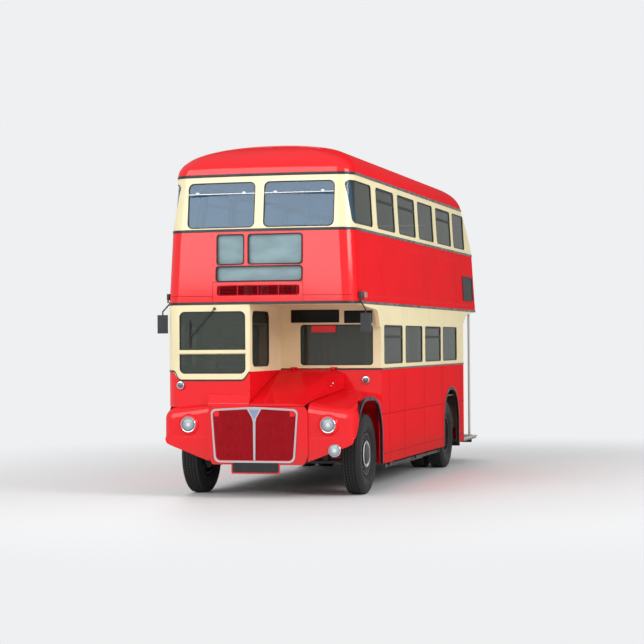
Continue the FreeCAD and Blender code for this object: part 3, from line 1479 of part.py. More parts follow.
def steering_column():
    """A raked column with a large rim wheel."""
    wheel = new("Part::Torus")
    tilt = Rotation(Vector(1, 0, 0), 28)
    wheel.Placement = Placement(Vector(), tilt)
    wheel.Radius1 = 235
    wheel.Radius2 = 13
    hub = (dim(-640), at(-430), dim(1800))
    bind_base(wheel, *hub)
    column = strut((dim(-640), at(-430) - 300, dim(1235)), (dim(-640), at(-430), dim(1800)), 24)
    foot = rod("z", dim(-640), at(-430) - 300, SEAT_FLOOR, 34, 110)
    bars = []
    for angle in (0, 120, 240):
        end = tilt.multVec(Vector(235 * math.cos(math.radians(angle)), 235 * math.sin(math.radians(angle)), 0))
        bars.append(strut(hub, (hub[0] + end.x, hub[1] + end.y, hub[2] + end.z), 9))
    boss = strut((hub[0], hub[1] - 12, hub[2] - 22), (hub[0], hub[1] + 4, hub[2] + 8), 40)
    return fuse(wheel, column, foot, boss, *bars)


node("steering_column", steering_column())

# x, station, from the lower or the upper deck
POLES_LOWER = ((270, 1200), (-270, 2670), (270, 4130), (-270, 4130))
POLES_UPPER = ((270, 350), (-270, 2540), (270, 4730))


def handrails():
    """Floor-to-ceiling poles, with the boarding pole at the rear corner."""
    ceiling = size.deck_line
    poles = [rod("z", dim(x), at(station), size.floor_height, size.pole_radius, ceiling - size.floor_height)
             for x, station in POLES_LOWER]
    poles.append(rod("z", inner_wall - 60, at(7180), size.platform_height, 19,
                     ceiling - size.platform_height))
    poles.append(rod("z", dim(120), at(STAIR_TURN - 60), size.platform_height, size.pole_radius,
                     ceiling - size.platform_height))
    poles += [rod("z", dim(x), at(station), upper_floor_top, size.pole_radius,
                  4260 - upper_floor_top) for x, station in POLES_UPPER]
    return loose(*poles)


node("handrails", handrails())

# ---------------------------------------------------------------- lamps, mirrors, small pieces
HEADLAMP = (885, 900)
FOG_LAMP = (964, 595)


def headlamps():
    """Conical rims with round lenses, one on each wing."""
    lamps = []
    for side in (1, -1):
        shell = new("Part::Cone")
        shell.Placement = Placement(Vector(), Rotation(Vector(1, 0, 0), 90))
        bind(shell, Radius1=dim(205), Radius2=dim(112), Height=dim(140))
        bind_base(shell, dim(HEADLAMP[0] * side), nose_y + 150, dim(HEADLAMP[1]))
        lens = rod("y", dim(HEADLAMP[0] * side), nose_y, dim(HEADLAMP[1]), 98, 24)
        lamps.append(cut(fuse(shell, lens), wing_solid(side, -0.8)))
    return loose(*lamps)


node("headlamps", headlamps())


def indicators():
    """Indicator arms low on the front corners of the upper deck."""
    ears = []
    for side in (1, -1):
        low, high = side_span(side, half_width - 2.5, half_width + 42)
        ears.append(profile("yz", low, high, rectangle(at(-700), at(-420), dim(2425), dim(2515), dim(25))))
    return ears


def small_lamps():
    """Side lamps, fog lamp and tail lamps."""
    body = body_front(size.platform_height)
    offside = cut(rod("y", dim(-1014), front_y + 25, dim(1379), 44, 100), body)
    nearside = rod("y", dim(1018), bulkhead_y - 30, dim(1413), 44, 30)
    fog = rod("y", dim(FOG_LAMP[0]), nose_y + 4, dim(FOG_LAMP[1]), 78, size.nose_proud + WING_BACK - 4)
    tails = [cut(rod("y", dim(x), rear_y - 90, dim(z), 45, 90 + size.nose_proud), body)
             for x, z in ((-960, 900), (-960, 1120))]
    return loose(offside, nearside, fog, *tails, *indicators())


node("small_lamps", small_lamps())




def mirrors():
    """Mirror heads on bent arms below the front corners of the upper deck."""
    heads = []
    for side in (1, -1):
        top = (dim(1226 * side), at(-640), dim(2392))
        pad_low, pad_high = side_span(side, half_width, half_width + 12)
        elbow = (dim(1300 * side), at(-700), dim(2290))
        low = (dim(1300 * side), at(-700), dim(2060))
        head_low, head_high = side_span(side, 1236, 1366)
        heads.append(fuse(block(pad_low, pad_high, at(-665), at(-615), dim(2372), dim(2412)),
                          strut(top, elbow, 9), strut(elbow, low, 9),
                          block(head_low, head_high, at(-712), at(-688), dim(2020), dim(2250))))
    return loose(*heads)


node("mirrors", mirrors())


def wiper():
    """Wiper arm pivoted above the windscreen."""
    pivot = (dim(-560), front_y + 6, dim(2318))
    tip = (dim(-900), front_y + 30, dim(1960))
    return cut(fuse(rod("y", pivot[0], front_y - 4, pivot[2], 16, 40), strut(pivot, tip, 6),
                    block(tip[0] - 7, tip[0] + 7, tip[1] - 6, tip[1] + 9, tip[2] - 110, tip[2] + 210)),
               body_front(size.cab_floor_height))


node("wiper", wiper())



# ---------------------------------------------------------------- check and write
def write_parts():
    doc.recompute()
    for feature in doc.Objects:
        if "Invalid" in feature.State or "Error" in feature.State:
            raise RuntimeError("%s (%s) failed" % (feature.Name, feature.Label))
    os.makedirs("parts", exist_ok=True)
    for feature in NODES:
        shape = feature.Shape
        if shape.isNull() or not shape.isValid() or not shape.Solids:
            raise RuntimeError("%s has no valid solid" % feature.Label)
        shape.exportStep("parts/%s.step" % feature.Label)
        print("%-26s solids %3d  volume %10.0f cm3" % (feature.Label, len(shape.Solids),
                                                      shape.Volume / 1000))


write_parts()
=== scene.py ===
"""Half-cab double-decker bus: paint, glazing trim, lamps, tyres, seats and stage for the built model."""

import math

import bmesh
import bpy
from bpy.props import FloatProperty, FloatVectorProperty, IntProperty, PointerProperty
from mathutils import Matrix, Vector
from mathutils.bvhtree import BVHTree
from mathutils.kdtree import KDTree


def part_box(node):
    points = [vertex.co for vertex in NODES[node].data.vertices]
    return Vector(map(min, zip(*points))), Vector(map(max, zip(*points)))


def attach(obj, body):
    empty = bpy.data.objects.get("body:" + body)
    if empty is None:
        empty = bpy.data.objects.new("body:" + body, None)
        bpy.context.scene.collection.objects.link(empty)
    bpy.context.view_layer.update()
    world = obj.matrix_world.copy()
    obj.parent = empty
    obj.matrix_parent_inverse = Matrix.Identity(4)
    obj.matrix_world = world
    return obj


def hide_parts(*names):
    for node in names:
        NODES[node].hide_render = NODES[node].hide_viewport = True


bl_info = {
    "name": "Half-cab double-decker bus",
    "version": (1, 0, 0),
    "blender": (4, 5, 0),
    "location": "View3D > Sidebar > Bus",
    "description": "Finishes and fits out a half-cab double-decker bus",
    "category": "Object",
}

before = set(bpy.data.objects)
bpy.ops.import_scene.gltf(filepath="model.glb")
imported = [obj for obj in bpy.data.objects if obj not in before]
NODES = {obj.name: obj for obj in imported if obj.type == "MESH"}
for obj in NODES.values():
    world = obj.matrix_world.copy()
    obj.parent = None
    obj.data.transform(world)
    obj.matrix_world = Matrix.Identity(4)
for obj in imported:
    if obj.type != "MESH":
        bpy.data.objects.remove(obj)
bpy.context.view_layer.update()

# Heights of the body's lines, from its own pieces
SKIRT_BOTTOM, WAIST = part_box("side_skirts")[0].z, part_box("side_skirts")[1].z
DECK_LINE, UPPER_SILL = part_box("upper_panels")[0].z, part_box("upper_panels")[1].z
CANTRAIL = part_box("upper_window_band")[1].z
HALF_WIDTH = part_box("side_skirts")[1].x
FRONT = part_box("upper_panels")[0].y
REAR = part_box("upper_panels")[1].y
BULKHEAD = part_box("side_skirts")[0].y
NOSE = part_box("grille_surround")[0].y
NOSE_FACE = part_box("nose_panel")[0].y

# The cab: its lower edge, its doorway's start and end, the corner's radius, and the front's inner end
CAB_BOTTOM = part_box("cab_shell")[0].z
DOORWAY = (-3.895, -3.280)
CAB_ROUND, CAB_END = 0.200, -0.112
# Its colour line lies level about the middle as far as DIP_HALF and has risen at DIP_END, DIP_BELOW the waist
CAB_MIDDLE, DIP_HALF, DIP_END, DIP_HEIGHT, DIP_BELOW = -0.62, 0.405, 0.530, 1.440, 0.012

# Height and half width of the flanks, height and place of the front
FLANK = ((DECK_LINE, HALF_WIDTH), (UPPER_SILL, 1.1749), (3.565, 1.158), (CANTRAIL, 1.140))
FACE = ((DECK_LINE, FRONT), (UPPER_SILL, -4.0925), (CANTRAIL, -4.0015))

FRONT_AXLE = Vector((1.030, -3.2275, 0.500))
REAR_AXLE = Vector((0.8825, 1.9035, 0.500))
TWIN = 0.1475
TYRE_RADIUS = 0.500
HUB_FACE, REAR_NUT_FACE, NUT_CIRCLE = 1.0862, 0.9340, 0.190     # places across, radius of the ring of nuts

# Wheel arches: height of the top, corner radius, ends along the bus from the axle
ARCH_TOP, ARCH_ROUND = 1.174, 0.470
FRONT_ARCH, REAR_ARCH = (-0.560, 0.494), (-0.530, 0.580)
# The front arch's sloping edge: foot, and its way along and up
WING_FOOT, WING_SLOPE = Vector((FRONT_AXLE.y - 1.120, 0.400)), Vector((0.560, 0.774))

# Middles of the nearside lamps (across, height), and the way a turned piece's axis points
HEADLAMP, FOG_LAMP = (0.885, 0.900), (0.964, 0.595)
ALONG, UP = (0, 1, 0), (0, 0, 1)


# ------------------------------------------------------------------ sizes and colours to change
def length(name, description, default):
    return FloatProperty(name=name, description=description, default=default, unit="LENGTH")


def paint(name, description, default):
    return FloatVectorProperty(name=name, description=description, default=default, subtype="COLOR",
                               min=0, max=1)


class BusSizes(bpy.types.PropertyGroup):
    """Sizes of the trim."""

    bead_height: length("Waist bead", "Height of the waist's black beads", 0.022)
    tall_bead: length("Tall bead", "Height of the upper deck's beads", 0.034)
    bead_proud: length("Bead proud", "How far the beads stand out", 0.006)
    gasket_width: length("Gasket width", "Rubber round each pane", 0.011)
    gasket_proud: length("Gasket proud", "Rubber in front of the glass", 0.009)
    strip_width: length("Strip width", "Cover strips on the panels", 0.012)
    arch_trim: length("Arch trim", "Width of the wheel arch edging", 0.042)
    wheel_nuts: IntProperty(name="Wheel nuts", description="Nuts on each wheel", default=10, min=4, max=16)
    tread_blocks: IntProperty(name="Tread pitch", description="Zigzags round each tyre", default=72,
                              min=24, max=120)
    cushion_cell: length("Cushion cell", "Grain of the seat simulation", 0.018)


class BusColours(bpy.types.PropertyGroup):
    """Colours of the livery."""

    red: paint("Red", "Coachwork red", (0.760, 0.0085, 0.0135))
    cream: paint("Cream", "Window bands", (0.800, 0.705, 0.440))
    bead: paint("Bead", "Beads and lining", (0.012, 0.013, 0.016))
    grille: paint("Grille mesh", "Radiator mesh", (0.430, 0.005, 0.013))
    glass: paint("Glass", "Window tint", (0.190, 0.225, 0.185))
    blind: paint("Blind", "Blank destination blinds", (0.205, 0.315, 0.345))
    moquette: paint("Seat cloth", "Ground of the seat cloth", (0.150, 0.020, 0.022))


def sizes():
    return bpy.context.scene.bus_sizes


def colours():
    return bpy.context.scene.bus_colours


# ------------------------------------------------------------------ finishes
class Finish:
    """A material in the making: one shader, with patterns that lie on the piece's own coordinates."""

    def __init__(self, name, surface):
        self.material = bpy.data.materials.new(name)
        self.material.use_nodes = True
        self.tree = self.material.node_tree
        self.tree.nodes.clear()
        output = self.tree.nodes.new("ShaderNodeOutputMaterial")
        self.shader = self.tree.nodes.new("ShaderNodeBsdfPrincipled")
        self.tree.links.new(self.shader.outputs[0], output.inputs[0])
        for socket, value in surface.items():
            self.shader.inputs[socket].default_value = value
        coordinates = self.tree.nodes.new("ShaderNodeTexCoord")
        self.place, self.normal = coordinates.outputs["Object"], coordinates.outputs["Normal"]
        self.x, self.y, self.z = self.add("ShaderNodeSeparateXYZ", {0: self.place}).outputs

    def add(self, kind, inputs, **settings):
        node = self.tree.nodes.new(kind)
        for setting, value in settings.items():
            setattr(node, setting, value)
        for socket, value in inputs.items():
            if isinstance(value, bpy.types.NodeSocket):
                self.tree.links.new(value, node.inputs[socket])
            else:
                node.inputs[socket].default_value = value
        return node

    def maths(self, operation, first, second=0.0, clamp=False):
        node = self.add("ShaderNodeMath", {0: first, 1: second}, operation=operation, use_clamp=clamp)
        return node.outputs[0]

    def plus(self, base, value, share):
        """base + value * share"""
        return self.maths("ADD", base, self.maths("MULTIPLY", value, share))

    def stain(self, mask, share, first, second):
        """first, with up to share of second where mask is 1."""
        return self.mix(self.maths("MULTIPLY", mask, share), first, second)

    def reach(self, x=0.0, y=0.0, z=0.0):
        """Length of the vector with these parts."""
        way = self.add("ShaderNodeCombineXYZ", {0: x, 1: y, 2: z}).outputs[0]
        return self.add("ShaderNodeVectorMath", {0: way}, operation="LENGTH").outputs["Value"]

    def facing_up(self):
        """Upward part of the surface's normal."""
        return self.add("ShaderNodeSeparateXYZ", {0: self.normal}).outputs[2]

    def fade(self, value, low, high):
        """0 below low, 1 above high."""
        node = self.add("ShaderNodeMapRange", {0: value, 1: low, 2: high}, interpolation_type="SMOOTHSTEP")
        return node.outputs[0]

    def noise(self, scale, detail=4.0, rough=0.55, stretch=(1, 1, 1), distortion=0.0):
        place = self.place
        if tuple(stretch) != (1, 1, 1):
            place = self.add("ShaderNodeMapping", {0: place, 3: stretch}).outputs[0]
        return self.add("ShaderNodeTexNoise", {"Vector": place, "Scale": scale, "Detail": detail,
                                               "Roughness": rough, "Distortion": distortion}).outputs[0]

    def mix(self, factor, first, second):
        """first where factor is 0, second where it is 1."""
        colour = [tuple(c) + (1,) if not isinstance(c, bpy.types.NodeSocket) and len(c) == 3 else c
                  for c in (first, second)]
        return self.add("ShaderNodeMix", {0: factor, 6: colour[0], 7: colour[1]}, data_type="RGBA").outputs[2]

    def shade(self, colour, factor, amount):
        """The colour made darker by up to amount where factor is 1."""
        dark = self.maths("SUBTRACT", 1.0, self.maths("MULTIPLY", factor, amount))
        grey = self.add("ShaderNodeCombineColor", {0: dark, 1: dark, 2: dark}).outputs[0]
        return self.add("ShaderNodeMix", {0: 1.0, 6: colour, 7: grey}, data_type="RGBA",
                        blend_type="MULTIPLY").outputs[2]

    def relief(self, *layers):
        """Bumps, each a height and its depth in metres."""
        last = None
        for height, depth in layers:
            inputs = {"Height": height, "Distance": depth, "Strength": 1.0}
            if last is not None:
                inputs["Normal"] = last
            last = self.add("ShaderNodeBump", inputs).outputs[0]
        self.tree.links.new(last, self.shader.inputs["Normal"])

    def flanks(self):
        """1 on surfaces that face to one side or up, 0 on those that face along the bus."""
        along = self.add("ShaderNodeSeparateXYZ", {0: self.normal}).outputs[1]
        return self.fade(self.maths("ABSOLUTE", along), 0.85, 0.25)

    def drive(self, socket, value):
        self.tree.links.new(value, self.shader.inputs[socket])

    def finish(self, colour, rough=None):
        self.tree.links.new(colour, self.shader.inputs["Base Color"])
        if rough is not None:
            self.tree.links.new(rough, self.shader.inputs["Roughness"])
        return self.material


FINISHES = {}


def scaled(colour, share):
    return tuple(share * c for c in colour)


def mottled(first, second, scale=3):
    """A zone of two close shades in soft patches."""
    return lambda f: f.mix(f.noise(scale, 2), first, second)


def coachwork(name, zone, gloss=0.85, flat=0.06):
    """Brush-painted and varnished panels. zone says which colour lies where; wear dulls the flanks."""
    f = Finish(name, {"Coat Roughness": 0.10, "IOR": 1.5, "Specular IOR Level": 0.0})
    f.drive("Coat Weight", f.maths("SUBTRACT", gloss, f.maths("MULTIPLY", f.flanks(), gloss - flat)))
    patches = f.noise(0.9, 3)
    fine = f.noise(38, 6, 0.6)
    streaks = f.noise(5.5, 5, 0.6, stretch=(1.6, 1.6, 0.16))
    low = f.fade(f.z, 0.95, 0.34)
    dust = f.maths("MULTIPLY", f.fade(f.plus(fine, low, 0.35), 0.58, 0.95), low)
    colour = f.shade(zone(f), f.fade(patches, 0.35, 0.75), 0.07)
    colour = f.shade(colour, f.fade(streaks, 0.50, 0.85), 0.05)
    colour = f.stain(dust, 0.30, colour, (0.120, 0.060, 0.045))
    rough = f.maths("ADD", f.maths("MULTIPLY", f.fade(streaks, 0.3, 0.8), 0.08),
                    f.plus(0.34, dust, 0.3))
    f.relief((f.noise(1.6, 2), 0.0040), (f.noise(420, 2), 0.00018))
    return f.finish(colour, rough)


def inner_side(f, stretch=(1, 0.3, 0), middle=(0, 0, 3)):
    """1 on faces that look towards the middle."""
    off = f.add("ShaderNodeVectorMath", {0: f.place, 1: middle}, operation="SUBTRACT").outputs[0]
    off = f.add("ShaderNodeVectorMath", {0: off, 1: stretch}, operation="MULTIPLY").outputs[0]
    towards = f.add("ShaderNodeVectorMath", {0: off, 1: f.normal}, operation="DOT_PRODUCT").outputs["Value"]
    return f.fade(towards, 0.02, -0.02)


def plain_zone(colour, inside):
    return lambda f: f.mix(inner_side(f), colour, inside)


def waist_zone(lower, upper, inside):
    """One colour below the waist, the other above it."""
    def zone(f):
        outer = f.mix(f.fade(f.z, WAIST - 0.001, WAIST + 0.001), lower, upper)
        return f.mix(inner_side(f), outer, inside)
    return zone


def cab_dip(x):
    """Height of the cab's colour line: low under the windscreen, up to the waist at both sides."""
    reach = min(max((abs(x - CAB_MIDDLE) - DIP_HALF) / (DIP_END - DIP_HALF), 0.0), 1.0)
    return DIP_HEIGHT + (WAIST - DIP_BELOW - DIP_HEIGHT) * reach * reach * (3 - 2 * reach)


def cab_zone(red, cream, inside):
    def zone(f):
        reach = f.fade(f.maths("ABSOLUTE", f.maths("ADD", f.x, -CAB_MIDDLE)), DIP_HALF, DIP_END)
        line = f.maths("ADD", DIP_HEIGHT, f.maths("MULTIPLY", reach, WAIST - DIP_BELOW - DIP_HEIGHT))
        outer = f.mix(f.fade(f.maths("SUBTRACT", f.z, line), -0.001, 0.001), red, cream)
        return f.mix(inner_side(f, (1, 1, 0), (-0.660, -3.440, 0)), outer, inside)
    return zone


def worn_paint(name, colour, rough=0.45, grime=0.5, tint=(0.070, 0.055, 0.042), shine=0.4):
    """Chassis paint with road dirt."""
    f = Finish(name, {"Specular IOR Level": shine})
    dirt = f.fade(f.noise(9, 7, 0.62), 0.42, 0.72)
    spots = f.fade(f.noise(70, 4, 0.7), 0.52, 0.70)
    mixed = f.stain(dirt, grime, colour, tint)
    mixed = f.shade(mixed, spots, 0.25)
    f.relief((f.noise(160, 4), 0.0007), (dirt, 0.0005))
    return f.finish(mixed, f.plus(rough, dirt, 0.3))


def rubber(name, colour, rough=0.62):
    f = Finish(name, {"Specular IOR Level": 0.35})
    bloom = f.fade(f.noise(24, 5, 0.6), 0.45, 0.75)
    f.relief((f.noise(900, 3), 0.00015), (f.noise(60, 3), 0.0003))
    return f.finish(f.stain(bloom, 0.35, colour, tuple(c * 1.9 + 0.01 for c in colour)),
                    f.plus(rough, bloom, 0.15))


def tyre_rubber(name, radius, axles):
    """Black rubber, greyer on the tread, with dust in the sidewall ribs."""
    f = Finish(name, {"Specular IOR Level": 0.30})
    wear = None
    for axle in axles:
        off = f.reach(y=f.maths("SUBTRACT", f.y, axle.y), z=f.maths("SUBTRACT", f.z, axle.z))
        wear = off if wear is None else f.maths("MINIMUM", wear, off)
    tread = f.fade(wear, radius - 0.014, radius - 0.003)
    dust = f.fade(f.noise(16, 6, 0.65), 0.40, 0.72)
    colour = f.stain(dust, 0.40, (0.0075, 0.0080, 0.0092), (0.036, 0.033, 0.029))
    colour = f.stain(tread, 0.4, colour, (0.034, 0.033, 0.032))
    f.relief((f.noise(700, 3), 0.0003), (f.noise(45, 4), 0.0006))
    return f.finish(colour, f.plus(0.62, dust, 0.22))


def polished(name, colour, rough, pitting=0.12, metal=1.0):
    """Bright plated metal with fine pits and wiping marks."""
    f = Finish(name, {"Metallic": metal})
    marks = f.noise(26, 6, 0.65)
    pits = f.fade(f.noise(340, 3, 0.6), 0.60, 0.72)
    f.relief((f.noise(120, 3), 0.00012), (pits, 0.00006))
    return f.finish(f.shade(f.mix(marks, colour, scaled(colour, 0.93)), pits, 0.35),
                    f.maths("ADD", rough, f.maths("MULTIPLY", f.fade(marks, 0.35, 0.8), pitting)))


def window_glass(name, tint, front, veil=0.84):
    """Toughened glass with a faint film and rain marks; the panes of the front are bluer, a painted
    reflection of the sky.
    """
    f = Finish(name, {"Transmission Weight": veil, "IOR": 1.06, "Coat Roughness": 0.02})
    f.drive("Coat Weight", f.maths("SUBTRACT", 0.80, f.maths("MULTIPLY", f.flanks(), 0.73)))
    marks = f.fade(f.noise(7, 6, 0.6, stretch=(1, 1, 0.3)), 0.50, 0.78)
    # painted reflection: the upper front panes take the bluer front colour as a painted sky reflection
    ahead = f.maths("MULTIPLY", f.fade(f.y, -3.80, -3.90), f.fade(f.z, DECK_LINE, UPPER_SILL))
    colour = f.mix(ahead, tint, front)
    colour = f.shade(colour, f.maths("SUBTRACT", 1.0, marks), 0.14)
    f.relief((f.noise(2.6, 2), 0.0015),)
    return f.finish(colour, f.maths("MULTIPLY", marks, 0.05))


def fluted_lens(name, tint, rough=0.10, coat=1.0, painted_reflectors=()):
    """Moulded lamp glass with upright flutes, its colour darker along them as painted shade, over reflectors
    that are painted in: a bright painted highlight in the middle of each and a dark ring of painted shade
    round it, about the (x, z) middles given.
    """
    f = Finish(name, {"Metallic": 0.35 * coat, "Coat Weight": coat, "Coat Roughness": 0.03, "IOR": 1.5})
    flutes = f.add("ShaderNodeTexWave", {"Vector": f.place, "Scale": 42.0, "Distortion": 0.3, "Detail": 1.0},
                   wave_type="BANDS", bands_direction="X").outputs["Fac"]
    cross = f.add("ShaderNodeTexWave", {"Vector": f.place, "Scale": 16.0, "Distortion": 0.2, "Detail": 1.0},
                  wave_type="BANDS", bands_direction="Z").outputs["Fac"]
    # painted shade: the glass is darker along the flutes, following their relief
    colour = f.mix(flutes, tint, scaled(tint, 0.72))
    f.relief((flutes, 0.0012), (cross, 0.0008))
    # painted shade along the cross ribs
    colour = f.stain(cross, 0.3, colour, scaled(tint, 0.6))
    for x, z in painted_reflectors:
        off = f.reach(x=f.maths("SUBTRACT", f.x, x), z=f.maths("SUBTRACT", f.z, z))
        # painted shade: a dark ring round the middle of each lamp
        rim = f.maths("MULTIPLY", f.fade(off, 0.045, 0.074), f.fade(off, 0.125, 0.105))
        colour = f.stain(rim, 0.72, colour, (0.085, 0.105, 0.125))
        # painted highlight: a bright middle that stands in for the reflector's glare
        colour = f.mix(f.maths("MULTIPLY", f.fade(off, 0.036, 0.012), 0.75), colour, (0.86, 0.89, 0.88))
    return f.finish(colour, f.plus(rough, flutes, 0.08))


def boards(name, colour, dark):
    """Treated floor boards that run along the bus, with grain and scuffs."""
    f = Finish(name, {"Specular IOR Level": 0.4})
    grain = f.noise(60, 6, 0.65, stretch=(1, 0.06, 1), distortion=0.6)
    plank = f.maths("FRACT", f.maths("MULTIPLY", f.x, 14.0))
    joint = f.maths("MAXIMUM", f.fade(plank, 0.05, 0.0), f.fade(plank, 0.95, 1.0))
    scuff = f.fade(f.noise(6, 6, 0.6), 0.50, 0.75)
    wood = f.mix(grain, colour, dark)
    wood = f.stain(scuff, 0.35, wood, (0.19, 0.17, 0.15))
    f.relief((grain, 0.0005), (joint, -0.0015))
    return f.finish(f.shade(wood, joint, 0.75), f.plus(0.5, scuff, 0.2))


def blind_cloth(name, colour, gloss=0.9):
    """Plain roller blind behind its glass, darker in patches that follow its sag, as painted shade of the
    folds.
    """
    f = Finish(name, {"Coat Weight": gloss, "Coat Roughness": 0.04, "Specular IOR Level": 0.5 * gloss})
    weave = f.noise(520, 2, 0.5, stretch=(1, 1, 2.2))
    sag = f.noise(2.4, 3, 0.5, stretch=(1, 1, 2.5))
    f.relief((weave, 0.0002), (sag, 0.003))
    # painted shade: the colour darkens along the sag relief
    return f.finish(f.mix(f.fade(sag, 0.3, 0.75), colour, scaled(colour, 0.72)),
                    f.plus(0.45, weave, 0.2))


def moquette(name, ground):
    """Cut-pile seat cloth with a small woven check of darker and lighter threads."""
    f = Finish(name, {"Sheen Weight": 0.5, "Sheen Roughness": 0.4, "Specular IOR Level": 0.2})
    across = f.maths("FRACT", f.maths("MULTIPLY", f.x, 21.0))
    height = f.plus(f.z, f.y, 0.55)
    up = f.maths("FRACT", f.maths("MULTIPLY", height, 21.0))
    dark = f.maths("MAXIMUM", f.fade(f.maths("ABSOLUTE", f.maths("SUBTRACT", across, 0.5)), 0.22, 0.18),
                   f.fade(f.maths("ABSOLUTE", f.maths("SUBTRACT", up, 0.5)), 0.22, 0.18))
    light = f.maths("MAXIMUM", f.fade(across, 0.07, 0.04), f.fade(up, 0.07, 0.04))
    pile = f.noise(620, 3, 0.7)
    worn = f.fade(f.noise(7, 4), 0.5, 0.8)
    cloth = f.stain(dark, 0.6, ground, (0.020, 0.028, 0.024))
    cloth = f.stain(light, 0.7, cloth, (0.42, 0.30, 0.12))
    cloth = f.shade(f.stain(worn, 0.2, cloth, (0.24, 0.12, 0.10)), pile, 0.35)
    f.relief((pile, 0.0014), (f.noise(90, 3), 0.0015))
    return f.finish(cloth, f.plus(0.82, pile, 0.15))


def woven_mesh(name, colour):
    """Painted wire gauze behind the grille's wires, its holes painted dark as painted shade behind it."""
    f = Finish(name, {"Specular IOR Level": 0.12})
    wires = None
    for along in (f.x, f.z):
        cell = f.maths("FRACT", f.maths("MULTIPLY", along, 110.0))
        cell = f.maths("ABSOLUTE", f.maths("SUBTRACT", cell, 0.5))
        wire = f.fade(cell, 0.20, 0.34)
        wires = wire if wires is None else f.maths("MAXIMUM", wires, wire)
    dirt = f.fade(f.noise(8, 6, 0.6), 0.40, 0.75)
    # painted shade: the holes between the wires get a dark copy of the paint
    gauze = f.mix(wires, scaled(colour, 0.25), colour)
    f.relief((wires, 0.0015), (f.noise(40, 3), 0.002))
    return f.finish(f.stain(dirt, 0.20, gauze, (0.14, 0.006, 0.010)),
                    f.plus(0.5, dirt, 0.2))


